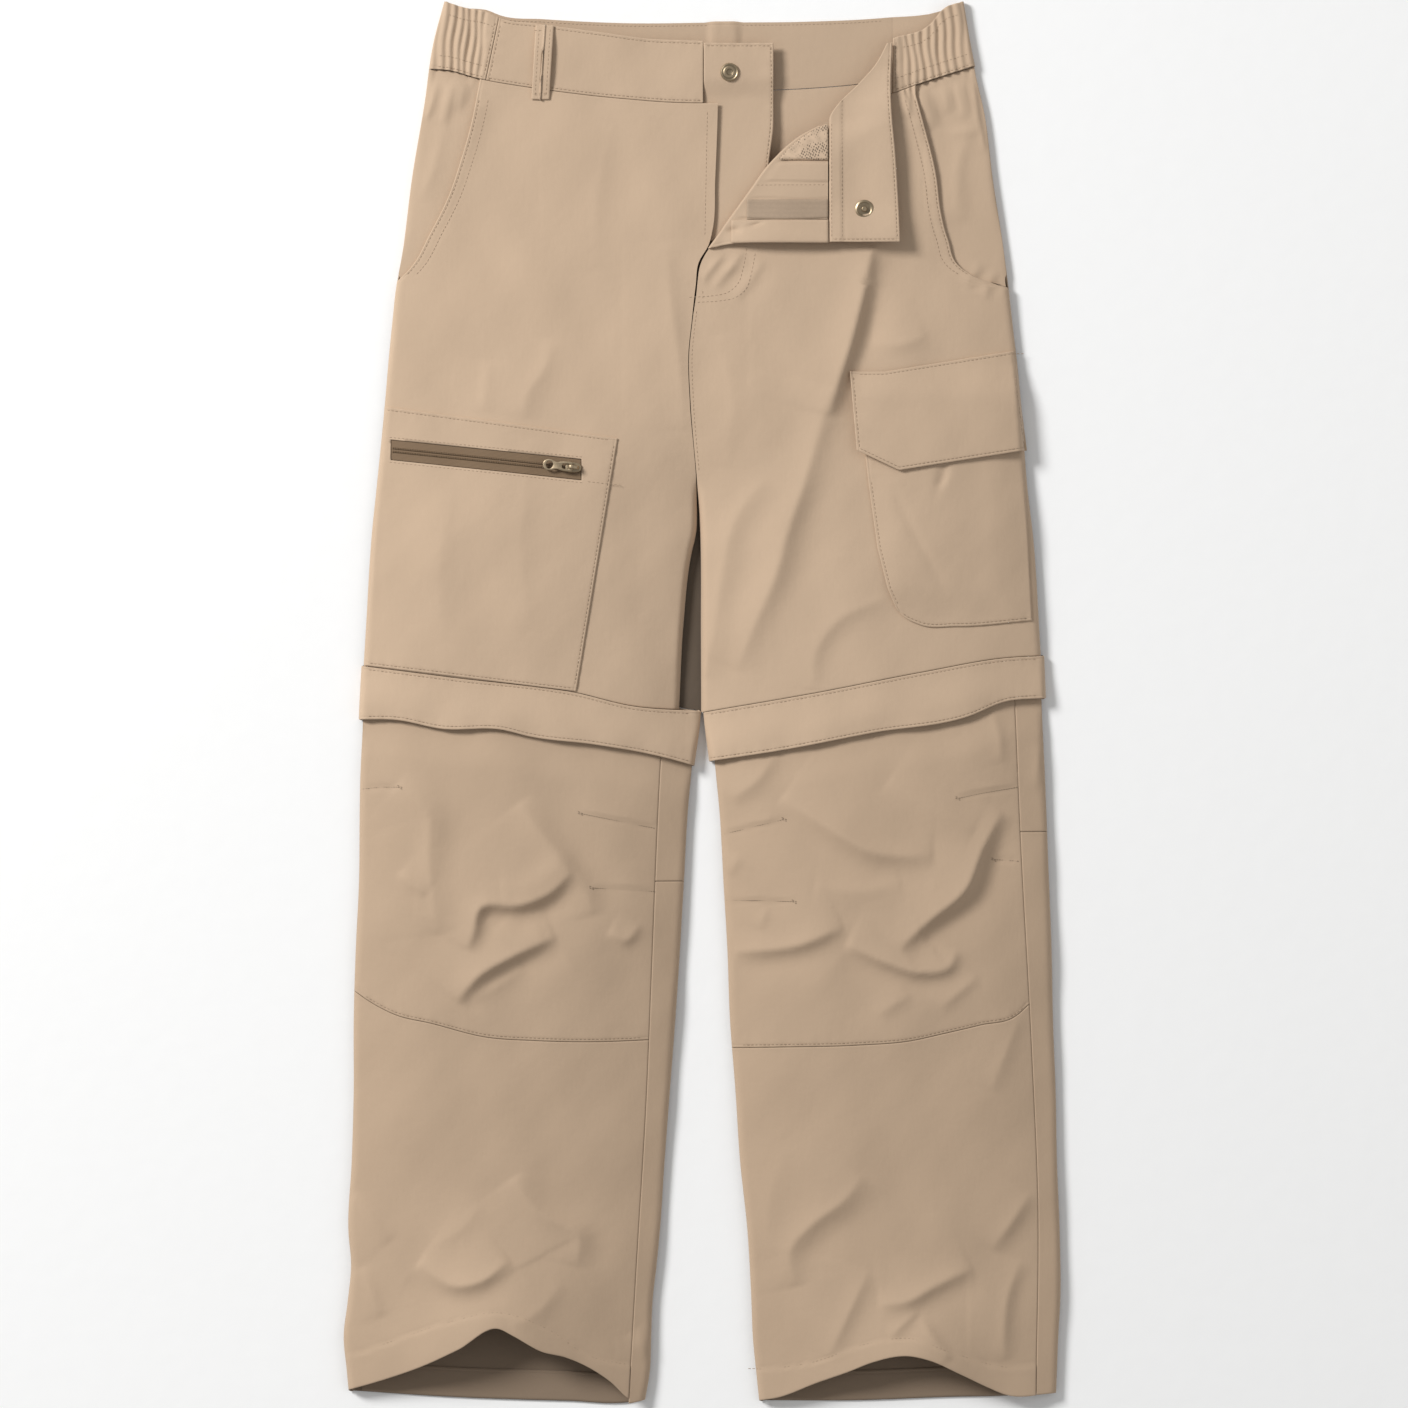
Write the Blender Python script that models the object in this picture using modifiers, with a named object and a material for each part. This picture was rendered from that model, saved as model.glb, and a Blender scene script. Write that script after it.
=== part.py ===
"""Convertible zip-off trousers, laid flat on a surface with the fly corner turned back.

Metres, +Z up. +Y points to the waist and +X to the wearer's left leg, so the front faces up.
"down" is the distance below the top of the waistband, "across" the distance from the middle.
"""
import math

import bmesh
import bpy
import numpy as np
from mathutils import Matrix

LENGTH = 1.050
WALL = 0.0012
GAP = 0.0003
ROLL = 0.0050
EDGE_TOP = 0.0077
BACK_RIM = 0.0030
FRONT_RIM = 0.0046
RIM_ON_BACK = 0.0018
TUCK = 0.0026
FLAP_LIFT = 0.0024
UNDER_FLAP_FLOOR = 0.0020
FLY_TUCK = 0.0028
POCKET_TUCK = 0.0026
CORNER_START = 0.0032
CORNER_RISE = 0.0036
FOLD_WIDTH = 0.0034
BACK_GAP = 0.0006
SNAP_RADIUS = 0.0069
LOOP_WIDTH = 0.0135
LOOP_TOP = 0.0185
LOOP_BOTTOM = 0.0740
LOOP_RISE = 0.0022
BACK_LOOP_MIDDLE = 0.0165
BACK_LOOP_BUMP = 0.0016
BACK_LOOP_WALL = 0.0011
BACK_BAND_LEFT = -0.1570
BACK_BAND_RIGHT = 0.1425
CENTRE_SEAM = 0.0010
SHIELD_RIGHT = 0.0535
SHIELD_BOTTOM = 0.1800
CORNER_RIGHT = 0.0942
CORNER_BOTTOM = 0.1825
POCKET_FACING_BOTTOM = 0.2000
FACING_UNDER = 0.005
KNEE_ZIP_TOP = 0.0030
KNEE_ZIP_BOTTOM = 0.0140
BACK_KNEE_SEAM = {"right": 0.659, "left": 0.622}
HEM_TURN_FROM = 0.0010
HEM_TURN_TO = 0.0220
HEM_TURN_INSET = 0.010
THIN_WALL = 0.0010
OVERLAY_LIFT = GAP + 0.0001

# Outlines: down, left edge, right edge as the viewer sees them
THIGH_RIGHT = [
    (0.000, -0.1930, 0.0120), (0.030, -0.2010, 0.0120), (0.077, -0.2080, 0.0120),
    (0.134, -0.2175, 0.0100), (0.172, -0.2222, 0.0080), (0.183, -0.2236, 0.0052),
    (0.196, -0.2258, -0.0022), (0.213, -0.2290, -0.0045), (0.240, -0.2320, -0.0075),
    (0.265, -0.2345, -0.0100), (0.300, -0.2375, -0.0090), (0.366, -0.2440, -0.0040),
    (0.400, -0.2475, -0.0045), (0.413, -0.2485, -0.0075), (0.464, -0.2515, -0.0135),
    (0.530, -0.2555, -0.0170)]
THIGH_LEFT = [
    (0.000, -0.0037, 0.1960), (0.030, -0.0037, 0.2010), (0.055, -0.0037, 0.2050),
    (0.081, -0.0037, 0.2110), (0.134, -0.0037, 0.2180), (0.186, -0.0037, 0.2260),
    (0.213, -0.0037, 0.2295), (0.240, -0.0072, 0.2325), (0.265, -0.0097, 0.2355),
    (0.300, -0.0087, 0.2390), (0.366, -0.0034, 0.2440), (0.400, -0.0015, 0.2480),
    (0.475, -0.0010, 0.2530), (0.530, -0.0008, 0.2560)]
FLAP_RIGHT = [
    (0.495, -0.2550, -0.0006), (0.538, -0.2572, -0.0012), (0.575, -0.2574, -0.0060)]
FLAP_LEFT = [
    (0.485, 0.0006, 0.2562), (0.533, 0.0010, 0.2580), (0.570, 0.0053, 0.2582)]
SHIN_RIGHT = [
    (0.500, -0.2520, -0.0050), (0.550, -0.2545, -0.0060), (0.580, -0.2560, -0.0082),
    (0.606, -0.2565, -0.0105), (0.659, -0.2570, -0.0135), (0.711, -0.2595, -0.0165),
    (0.764, -0.2610, -0.0200), (0.816, -0.2610, -0.0240), (0.869, -0.2625, -0.0280),
    (0.921, -0.2650, -0.0315), (0.947, -0.2630, -0.0340), (0.974, -0.2655, -0.0370),
    (1.000, -0.2685, -0.0380), (1.026, -0.2662, -0.0390), (1.050, -0.2640, -0.0430)]
SHIN_LEFT = [
    (0.480, 0.0050, 0.2530), (0.540, 0.0070, 0.2550), (0.580, 0.0105, 0.2570),
    (0.606, 0.0130, 0.2580), (0.659, 0.0160, 0.2600), (0.711, 0.0190, 0.2620),
    (0.764, 0.0210, 0.2630), (0.816, 0.0250, 0.2650), (0.869, 0.0285, 0.2660),
    (0.921, 0.0340, 0.2680), (0.974, 0.0370, 0.2685), (1.000, 0.0380, 0.2670),
    (1.026, 0.0405, 0.2660), (1.050, 0.0430, 0.2650)]

# Loft of the front above its edges: down, height
CROWN = [
    (0.000, 0.0008), (0.060, 0.0022), (0.120, 0.0042), (0.200, 0.0078), (0.300, 0.0108),
    (0.400, 0.0122), (0.530, 0.0112), (0.620, 0.0132), (0.700, 0.0152), (0.800, 0.0124),
    (0.920, 0.0104), (1.050, 0.0084)]

# Edges and seams that run across: across, down
BACK_TOP = [
    (-0.193, 0.0000), (-0.179, 0.0045), (-0.162, 0.0060), (-0.150, 0.0105), (-0.119, 0.0130),
    (-0.058, 0.0160), (0.014, 0.0155), (0.075, 0.0150), (0.137, 0.0120), (0.179, 0.0070),
    (0.196, 0.0000)]
FRONT_TOP = [
    (-0.193, 0.0000), (-0.179, 0.0045), (-0.162, 0.0080), (-0.151, 0.0130), (-0.124, 0.0170),
    (-0.080, 0.0230), (-0.043, 0.0280), (-0.001, 0.0300), (0.053, 0.0330), (0.1455, 0.0270),
    (0.173, 0.0150), (0.179, 0.0075), (0.196, 0.0000)]
BAND_SEAM = [
    (-0.202, 0.0510), (-0.190, 0.0520), (-0.168, 0.0580), (-0.128, 0.0650), (-0.058, 0.0735),
    (-0.015, 0.0765), (0.012, 0.0765), (0.111, 0.0700), (0.143, 0.0690), (0.160, 0.0630),
    (0.203, 0.0490)]
BACK_BAND_SEAM = [
    (-0.204, 0.0505), (-0.100, 0.0625), (0.000, 0.0668), (0.100, 0.0635), (0.2045, 0.0490)]
BACK_FLAP_SEAM_RIGHT = [(-0.2545, 0.4980), (0.000, 0.5320)]
BACK_FLAP_SEAM_LEFT = [(0.000, 0.5330), (0.2555, 0.4905)]
FLAP_SEAM_RIGHT = [
    (-0.255, 0.4980), (-0.185, 0.5070), (-0.095, 0.5180), (-0.053, 0.5280), (0.000, 0.5320)]
FLAP_EDGE_RIGHT = [
    (-0.257, 0.5380), (-0.228, 0.5385), (-0.195, 0.5450), (-0.148, 0.5460), (-0.130, 0.5505),
    (-0.079, 0.5570), (-0.030, 0.5660), (-0.001, 0.5740)]
FLAP_SEAM_LEFT = [
    (0.000, 0.5330), (0.087, 0.5180), (0.164, 0.5030), (0.229, 0.4920), (0.256, 0.4905)]
FLAP_EDGE_LEFT = [
    (0.001, 0.5700), (0.060, 0.5610), (0.128, 0.5480), (0.200, 0.5355), (0.226, 0.5250),
    (0.258, 0.5220)]
KNEE_SEAM_RIGHT = [
    (-0.261, 0.7410), (-0.249, 0.7490), (-0.229, 0.7590), (-0.203, 0.7650), (-0.161, 0.7755),
    (-0.125, 0.7780), (-0.083, 0.7790), (-0.020, 0.7770)]
KNEE_SEAM_LEFT = [
    (0.021, 0.7840), (0.062, 0.7830), (0.115, 0.7815), (0.157, 0.7780), (0.180, 0.7730),
    (0.208, 0.7665), (0.236, 0.7590), (0.2445, 0.7515)]
HEM_FRONT_RIGHT = [
    (-0.265, 1.0400), (-0.248, 1.0350), (-0.209, 1.0210), (-0.182, 1.0080), (-0.151, 0.9920),
    (-0.141, 0.9970), (-0.119, 1.0095), (-0.102, 1.0140), (-0.068, 1.0335), (-0.054, 1.0465),
    (-0.042, 1.0475)]
HEM_FRONT_LEFT = [
    (0.043, 1.0480), (0.055, 1.0460), (0.086, 1.0340), (0.110, 1.0250), (0.127, 1.0180),
    (0.155, 1.0130), (0.169, 1.0160), (0.193, 1.0270), (0.213, 1.0370), (0.227, 1.0430),
    (0.265, 1.0425)]
HEM_BACK_RIGHT = [
    (-0.265, 1.0410), (-0.188, 1.0460), (-0.100, 1.0490), (-0.055, 1.0500), (-0.042, 1.0475)]
HEM_BACK_LEFT = [
    (0.043, 1.0485), (0.117, 1.0485), (0.186, 1.0460), (0.230, 1.0450), (0.265, 1.0425)]

# Edges and seams that run down: down, across
ELASTIC_START_RIGHT = [(0.010, -0.1515), (0.060, -0.1620)]
ELASTIC_START_LEFT = [(0.020, 0.1430), (0.070, 0.1425)]
POCKET_EDGE_RIGHT = [
    (0.060, -0.1665), (0.093, -0.1730), (0.121, -0.1810), (0.147, -0.1900), (0.173, -0.2030),
    (0.204, -0.2220), (0.210, -0.2286)]
POCKET_EDGE_LEFT = [
    (0.070, 0.1600), (0.132, 0.1755), (0.159, 0.1790), (0.178, 0.1840), (0.203, 0.1980),
    (0.2085, 0.2080), (0.214, 0.2296)]
FOLD_LINE = [
    (0.027, 0.1430), (0.049, 0.1305), (0.063, 0.1170), (0.070, 0.1110), (0.078, 0.1010),
    (0.090, 0.0930), (0.101, 0.0735), (0.121, 0.0510), (0.1425, 0.0350), (0.172, 0.0140),
    (0.196, -0.0015), (0.213, -0.0037)]
STRIP_SEAM = [
    (0.030, 0.1395), (0.049, 0.1290), (0.063, 0.1165), (0.078, 0.1015), (0.088, 0.0954),
    (0.093, 0.0951), (0.100, 0.0950), (0.120, 0.0950), (0.183, 0.0950)]
STRIP_EDGE = [(0.030, 0.1425), (0.069, 0.1410), (0.121, 0.1448), (0.160, 0.1470), (0.182, 0.1478)]
INSEAM_RIGHT = [
    (0.500, -0.0270), (0.600, -0.0325), (0.715, -0.0372), (0.830, -0.0420), (0.930, -0.0480),
    (1.050, -0.0550)]
OUTSEAM_LEFT = [
    (0.480, 0.2325), (0.630, 0.2385), (0.790, 0.2470), (0.900, 0.2515), (1.043, 0.2500)]

# Extra rows where the fronts step out below the pocket mouths: place from seam to waist
POCKET_ROWS_RIGHT = (0.6435, 0.6580)
POCKET_ROWS_LEFT = (0.6270, 0.6385)

# Largest creases: start, middle and end (across, down), height of the step, reach, softness
CREASES = [
    ((0.1305, 0.184), (0.1050, 0.287), (0.0315, 0.503), 0.0034, 0.034, 0.010),
    ((0.0525, 0.361), (0.0200, 0.435), (0.0070, 0.508), 0.0015, 0.022, 0.012),
    ((-0.0200, 0.182), (-0.0140, 0.250), (-0.0075, 0.321), 0.0012, 0.018, 0.012),
    ((-0.1065, 0.257), (-0.1215, 0.287), (-0.1275, 0.313), 0.0012, 0.018, 0.010),
    ((-0.2240, 0.582), (-0.1990, 0.621), (-0.1910, 0.697), 0.0018, 0.024, 0.012),
    ((-0.1320, 0.598), (-0.1080, 0.632), (-0.0765, 0.683), 0.0022, 0.022, 0.010),
    ((-0.0950, 0.654), (-0.1220, 0.682), (-0.1630, 0.681), 0.0034, 0.022, 0.008),
    ((-0.1080, 0.704), (-0.1440, 0.720), (-0.1810, 0.751), 0.0034, 0.022, 0.008),
    ((0.0600, 0.566), (0.0420, 0.584), (0.0240, 0.602), 0.0016, 0.018, 0.010),
    ((0.1725, 0.645), (0.1150, 0.638), (0.0585, 0.600), 0.0030, 0.026, 0.010),
    ((0.2270, 0.609), (0.2000, 0.667), (0.1490, 0.713), 0.0042, 0.030, 0.010),
    ((0.1070, 0.696), (0.0660, 0.708), (0.0240, 0.716), 0.0028, 0.024, 0.010),
    ((0.1930, 0.713), (0.1580, 0.733), (0.1070, 0.709), 0.0028, 0.020, 0.008),
    ((-0.1370, 0.878), (-0.1070, 0.914), (-0.0890, 0.947), 0.0022, 0.024, 0.012),
    ((-0.1410, 0.944), (-0.1720, 0.967), (-0.2145, 0.947), 0.0030, 0.024, 0.010),
    ((0.1240, 0.882), (0.1070, 0.903), (0.0710, 0.937), 0.0024, 0.024, 0.012),
    ((0.2040, 0.951), (0.1700, 0.968), (0.1330, 0.979), 0.0026, 0.024, 0.010),
    ((0.2490, 0.895), (0.2360, 0.915), (0.2205, 0.937), 0.0024, 0.022, 0.010)]

# Lifted mouths of the hems: across, down, half width, reach up the leg, height
HEM_ARCHES = [
    (-0.151, 0.995, 0.062, 0.110, 0.0200),
    (0.155, 1.015, 0.052, 0.080, 0.0130)]

# Elastic gathers: across the front, half width, height
GATHERS_RIGHT = [(-0.1830, 0.0022, 0.0012), (-0.1755, 0.0022, 0.0014), (-0.1680, 0.0022, 0.0012)]
GATHERS_LEFT = [(0.1600, 0.0022, 0.0012), (0.1690, 0.0022, 0.0014), (0.1790, 0.0022, 0.0012)]

# Overlay outlines, counterclockwise from above: across, down
THIGH_POCKET = [(-0.2525, 0.4975), (-0.0940, 0.5170), (-0.0630, 0.3280), (-0.2380, 0.3040)]
ZIP_WINDOW = [(-0.2330, 0.3440), (-0.0900, 0.3595), (-0.0900, 0.3435), (-0.2330, 0.3285)]
CARGO_BODY = [
    (0.1175, 0.3000), (0.1310, 0.4100), (0.1480, 0.4580), (0.1620, 0.4680), (0.2470, 0.4650),
    (0.2405, 0.3360), (0.2350, 0.2900)]
CARGO_FLAP = [
    (0.1105, 0.2780), (0.1155, 0.3370), (0.1470, 0.3520), (0.2435, 0.3365), (0.2340, 0.2620),
    (0.1365, 0.2780)]
FLY_FACING = [(0.0225, 0.1815), (0.0938, 0.1815), (0.0938, 0.1655), (0.0225, 0.1655)]
FLY_TAPE = [(0.0340, 0.1645), (0.0938, 0.1645), (0.0938, 0.1500), (0.0340, 0.1500)]
MESH_BAG = [(0.0560, 0.1200), (0.0938, 0.1200), (0.0938, 0.1010), (0.0850, 0.1010)]

# Metal pieces in their own frames: slider body, its bridge from the side, the pull from above
SLIDER_SIZE = (0.0120, 0.0078, 0.0022)
SLIDER_FORWARD = 0.0015
SLIDER_ROUND = 0.0024
BRIDGE_OUTLINE = [
    (-0.0026, 0.0012), (0.0058, 0.0012), (0.0058, 0.0040), (0.0046, 0.0062), (0.0020, 0.0073),
    (-0.0008, 0.0071), (-0.0024, 0.0058)]
BRIDGE_HOLE = [(-0.0014, 0.0026), (0.0022, 0.0026), (0.0022, 0.0056), (-0.0014, 0.0056)]
BRIDGE_WIDTH = 0.0026
PULL_HALVES = [
    (-0.0215, 0.0012), (-0.0205, 0.0030), (-0.0180, 0.0042), (-0.0150, 0.0042),
    (-0.0125, 0.0030), (-0.0105, 0.0026), (-0.0070, 0.0036), (-0.0020, 0.0038),
    (0.0003, 0.0036), (0.0009, 0.0026)]
PULL_SLOT = [(-0.0070, 0.0020), (-0.0009, 0.0020), (-0.0009, -0.0020), (-0.0070, -0.0020)]
PULL_HOLE = (-0.0165, 0.0, 0.0026, 0.0029)
PULL_WALL = 0.0012
PULL_HEIGHT = 0.0041

# Snap profiles: radius, height
SOCKET_PROFILE = [
    (0.0, 0.0009), (0.0020, 0.0009), (0.0026, 0.0017), (0.0042, 0.0017), (0.0050, 0.0011),
    (0.0060, 0.0016), (SNAP_RADIUS, 0.0009), (SNAP_RADIUS, 0.0), (0.0, 0.0)]
STUD_PROFILE = [
    (0.0, 0.0034), (0.0016, 0.0034), (0.0021, 0.0026), (0.0018, 0.0012), (0.0046, 0.0010),
    (0.0056, 0.0016), (SNAP_RADIUS, 0.0009), (SNAP_RADIUS, 0.0), (0.0, 0.0)]

ZIP_AT = (-0.0975, 0.3495)
ZIP_SLOPE = math.radians(-5.9)
PULL_DROOP = math.radians(-6.5)
SOCKET_AT = (0.0207, 0.0536)
STUD_AT = (0.1213, 0.1568)

CLOTH = ("cloth", (0.55, 0.43, 0.31), 0.85, 0.0)
CLOTH_LOWER = ("cloth_lower", (0.50, 0.38, 0.27), 0.85, 0.0)
MESH_CLOTH = ("net", (0.48, 0.38, 0.28), 0.9, 0.0)
ZIP_CLOTH = ("zip_tape", (0.30, 0.22, 0.14), 0.7, 0.0)
METAL = ("antique_brass", (0.40, 0.34, 0.25), 0.35, 0.9)


def clear_scene():
    for item in list(bpy.data.objects):
        bpy.data.objects.remove(item, do_unlink=True)


def collection(name):
    made = bpy.data.collections.new(name)
    bpy.context.scene.collection.children.link(made)
    return made


def material(finish):
    name, colour, roughness, metallic = finish
    made = bpy.data.materials.get(name)
    if made is None:
        made = bpy.data.materials.new(name)
        made.use_nodes = True
        shader = made.node_tree.nodes["Principled BSDF"]
        shader.inputs["Base Color"].default_value = (*colour, 1.0)
        shader.inputs["Roughness"].default_value = roughness
        shader.inputs["Metallic"].default_value = metallic
    return made


def along(table, at):
    """Smooth curve through a table's rows, straight beyond its ends."""
    rows = np.array(table, dtype=float)
    keys = rows[:, 0]
    values = rows[:, 1]
    slopes = np.gradient(values, keys)
    at = np.asarray(at, dtype=float)
    held = np.clip(at, keys[0], keys[-1])
    cell = np.clip(np.searchsorted(keys, held, side="right") - 1, 0, len(keys) - 2)
    width = keys[cell + 1] - keys[cell]
    t = (held - keys[cell]) / width
    start = (1 + 2 * t) * (1 - t) ** 2 * values[cell] + t * (1 - t) ** 2 * width * slopes[cell]
    finish = t * t * (3 - 2 * t) * values[cell + 1] - t * t * (1 - t) * width * slopes[cell + 1]
    return start + finish


def ease(low, high, at):
    """Soft step from 0 at low to 1 at high."""
    t = np.clip((np.asarray(at, dtype=float) - low) / (high - low), 0.0, 1.0)
    return t * t * (3 - 2 * t)


def left_of(table, down):
    return along([(row[0], row[1]) for row in table], down)


def right_of(table, down):
    return along([(row[0], row[2]) for row in table], down)


def dome(across, left, right):
    spread = np.clip((across - left) / (right - left), 0.0, 1.0)
    return 1 - np.abs(2 * spread - 1) ** 2.6


def crease_height(across, down):
    """Height of all creases: high on the light's side of each line and low on the other."""
    total = np.zeros(np.broadcast(across, down).shape)
    steps = np.linspace(0.0, 1.0, 13)
    for start, middle, end, height, reach, soft in CREASES:
        route = [(1 - t) ** 2 * np.array(start) + 2 * t * (1 - t) * np.array(middle)
                 + t * t * np.array(end) for t in steps]
        nearest = np.full(total.shape, 1.0)
        signed = np.zeros(total.shape)
        fade = np.zeros(total.shape)
        for index in range(len(route) - 1):
            ax, ad = route[index]
            step_x = route[index + 1][0] - ax
            step_y = -(route[index + 1][1] - ad)
            size = math.hypot(step_x, step_y)
            off_x = across - ax
            off_y = -(down - ad)
            t = np.clip((off_x * step_x + off_y * step_y) / size ** 2, 0.0, 1.0)
            distance = np.hypot(off_x - t * step_x, off_y - t * step_y)
            side = (step_x * off_y - step_y * off_x) / size
            closer = distance < nearest
            nearest = np.where(closer, distance, nearest)
            signed = np.where(closer, side, signed)
            fade = np.where(closer, np.sin(math.pi * (index + t) / (len(route) - 1)), fade)
        total += -height * np.tanh(signed / soft) * np.exp(-(nearest / reach) ** 2) * np.sqrt(fade)
    return total


def arch_height(across, down):
    total = np.zeros(np.broadcast(across, down).shape)
    for centre, low, half, reach, height in HEM_ARCHES:
        sideways = np.exp(-((across - centre) / half) ** 2)
        total += height * sideways * ease(low - reach, low + 0.02, down)
    return total


def front_top(table, across, down):
    """Height of the front's outer face over the surface, before its edges roll down."""
    whole = dome(across, left_of(THIGH_RIGHT, down), right_of(THIGH_LEFT, down))
    legs = dome(across, left_of(table, down), right_of(table, down))
    split = ease(0.290, 0.400, down)
    loft = along(CROWN, down) * (whole * (1 - split) + legs * split)
    return EDGE_TOP + loft + crease_height(across, down) + arch_height(across, down)


def roll(distance):
    """Quarter turn of a rolled edge: 0 at the edge, 1 from ROLL inwards."""
    inside = np.clip(distance / ROLL, 0.0, 1.0)
    return np.sqrt(np.clip(1 - (1 - inside) ** 2, 0.0, 1.0))


def front_z(tube, across, down, offset=0.0):
    table, centre = TUBES[tube]
    top = front_top(table, across, down) + offset
    left = roll(across - left_of(table, down))
    right = roll(right_of(table, down) - across)
    open_leg = ease(0.355, 0.385, down)
    left_rim = FRONT_RIM
    right_rim = FRONT_RIM
    if centre == "right":
        right = 1 - open_leg * (1 - right)
        right_rim = RIM_ON_BACK
    if centre == "left":
        left = 1 - open_leg * (1 - left)
        left_rim = RIM_ON_BACK
    return left_rim + (right_rim + (top - right_rim) * right - left_rim) * left


def back_z(tube, across, down, floor=0.0):
    table, centre = TUBES[tube]
    left = 1.0 if centre == "left" else roll(across - left_of(table, down))
    right = 1.0 if centre == "right" else roll(right_of(table, down) - across)
    rim = np.maximum(BACK_RIM, floor + 0.0008)
    return floor + (rim - floor) * (1 - left * right)


TUBES = {
    "thigh_right": (THIGH_RIGHT, "right"),
    "thigh_left": (THIGH_LEFT, "left"),
    "flap_right": (FLAP_RIGHT, None),
    "flap_left": (FLAP_LEFT, None),
    "shin_right": (SHIN_RIGHT, None),
    "shin_left": (SHIN_LEFT, None),
    "waist": ([(row[0], row[1], right_of(THIGH_LEFT, row[0])) for row in THIGH_RIGHT[:6]], None),
}


def fractions(count, rolled_left, rolled_right, width):
    """Column places from 0 to 1, with extra ones where an edge rolls down."""
    turn = [0.0, 0.012 * ROLL / width, 0.33 * ROLL / width, ROLL / width]
    low = turn if rolled_left else [0.0]
    high = [1 - place for place in reversed(turn)] if rolled_right else [1.0]
    middle = np.linspace(low[-1], high[0], count - len(low) - len(high) + 2)[1:-1]
    return np.array(low + list(middle) + high)


def patch(spans, low, high, rows, extra=()):
    """Points of a sheet: spans follow each other across, low and high are its lower and upper edges.

    A span is (height function, from, to, fractions) and may end with a lower and an upper edge of
    its own. From and to give across for a distance down; extra adds rows at places from 0 to 1.
    """
    levels = np.array(sorted(list(np.linspace(0.0, 1.0, rows)) + list(extra)))[:, None]
    outer_low = low
    outer_high = high
    columns = []
    for height, start, stop, places, *edges in spans:
        low, high = edges or (outer_low, outer_high)
        places = places[None, :]
        down = np.full((len(levels), places.shape[1]), 0.5 * float(low(0.0) + high(0.0)))
        for _ in range(14):
            across = start(down) + (stop(down) - start(down)) * places
            down = 0.5 * down + 0.5 * (low(across) + (high(across) - low(across)) * levels)
        across = start(down) + (stop(down) - start(down)) * places
        z = height(across, down)
        columns.append(np.stack([across, LENGTH / 2 - down, z + 0 * down], axis=-1))
    return np.concatenate(columns, axis=1)


def sheet_mesh(points, closed=False):
    """A grid moved to the given points, in rows from the lower edge up."""
    rows, columns = points.shape[:2]
    work = bmesh.new()
    bmesh.ops.create_grid(work, x_segments=columns - 1, y_segments=rows - 1, size=1.0)
    for vert in work.verts:
        column = round((vert.co.x + 1) / 2 * (columns - 1))
        row = round((vert.co.y + 1) / 2 * (rows - 1))
        vert.co = points[row, column]
    if closed:
        bmesh.ops.remove_doubles(work, verts=work.verts[:], dist=1e-6)
    bmesh.ops.triangulate(work, faces=work.faces[:], quad_method="FIXED")
    return work


def add_object(name, work, finish, wall=WALL, outward=False, flip=False):
    if flip:
        bmesh.ops.reverse_faces(work, faces=work.faces[:])
    data = bpy.data.meshes.new(name)
    work.to_mesh(data)
    work.free()
    data.shade_smooth()
    data.set_sharp_from_angle(angle=math.radians(50))
    item = bpy.data.objects.new(name, data)
    item.data.materials.append(material(finish))
    PARTS.objects.link(item)
    if wall:
        thick = item.modifiers.new("wall", "SOLIDIFY")
        thick.thickness = wall
        thick.offset = 1.0 if outward else -1.0
    return item


def curve(table):
    return lambda at: along(table, at)


def shifted(function, amount):
    return lambda at: function(at) + amount


def edge_left(table, amount=0.0):
    return lambda down: left_of(table, down) + amount


def edge_right(table, amount=0.0):
    return lambda down: right_of(table, down) + amount


def on_front(tube, offset=0.0):
    if callable(offset):
        return lambda across, down: front_z(tube, across, down, offset(across, down))
    return lambda across, down: front_z(tube, across, down, offset)


def on_back(tube, floor=0.0):
    if callable(floor):
        return lambda across, down: back_z(tube, across, down, floor(across, down))
    return lambda across, down: back_z(tube, across, down, floor)


def cut_outline(work, corners, lift):
    """Keeps what lies inside a convex outline, then moves it out along its normals."""
    count = len(corners)
    for index in range(count):
        ax, ad = corners[index]
        bx, bd = corners[(index + 1) % count]
        step_x = bx - ax
        step_y = -(bd - ad)
        bmesh.ops.bisect_plane(
            work, geom=work.verts[:] + work.edges[:] + work.faces[:], dist=1e-6,
            plane_co=(ax, LENGTH / 2 - ad, 0.0), plane_no=(step_y, -step_x, 0.0), clear_outer=True)
    move_out(work, lift)


def move_out(work, lift):
    work.normal_update()
    moves = [(vert, vert.normal * lift(vert.co)) for vert in work.verts]
    for vert, move in moves:
        vert.co += move


def cut_window(work, corners):
    """Opens a convex window in a sheet."""
    count = len(corners)
    sides = []
    for index in range(count):
        ax, ad = corners[index]
        bx, bd = corners[(index + 1) % count]
        step_x = bx - ax
        step_y = -(bd - ad)
        sides.append((ax, LENGTH / 2 - ad, step_y, -step_x))
        near = [face for face in work.faces if near_window(face, corners)]
        edges = list({edge for face in near for edge in face.edges})
        verts = list({vert for face in near for vert in face.verts})
        bmesh.ops.bisect_plane(
            work, geom=verts + edges + near, dist=1e-6,
            plane_co=(ax, LENGTH / 2 - ad, 0.0), plane_no=(step_y, -step_x, 0.0))
    inside = []
    for face in work.faces:
        middle = face.calc_center_median()
        depths = [(middle.x - x) * nx + (middle.y - y) * ny for x, y, nx, ny in sides]
        if max(depths) < 0:
            inside.append(face)
    bmesh.ops.delete(work, geom=inside, context="FACES")


def near_window(face, corners):
    margin = 0.004
    across = [corner[0] for corner in corners]
    level = [LENGTH / 2 - corner[1] for corner in corners]
    xs = [vert.co.x for vert in face.verts]
    ys = [vert.co.y for vert in face.verts]
    return (max(xs) > min(across) - margin and min(xs) < max(across) + margin
            and max(ys) > min(level) - margin and min(ys) < max(level) + margin)


def steady(amount):
    return lambda place: amount


def steady_down(amount):
    """The same place across at every distance down."""
    return lambda down: 0 * down + amount


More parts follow.
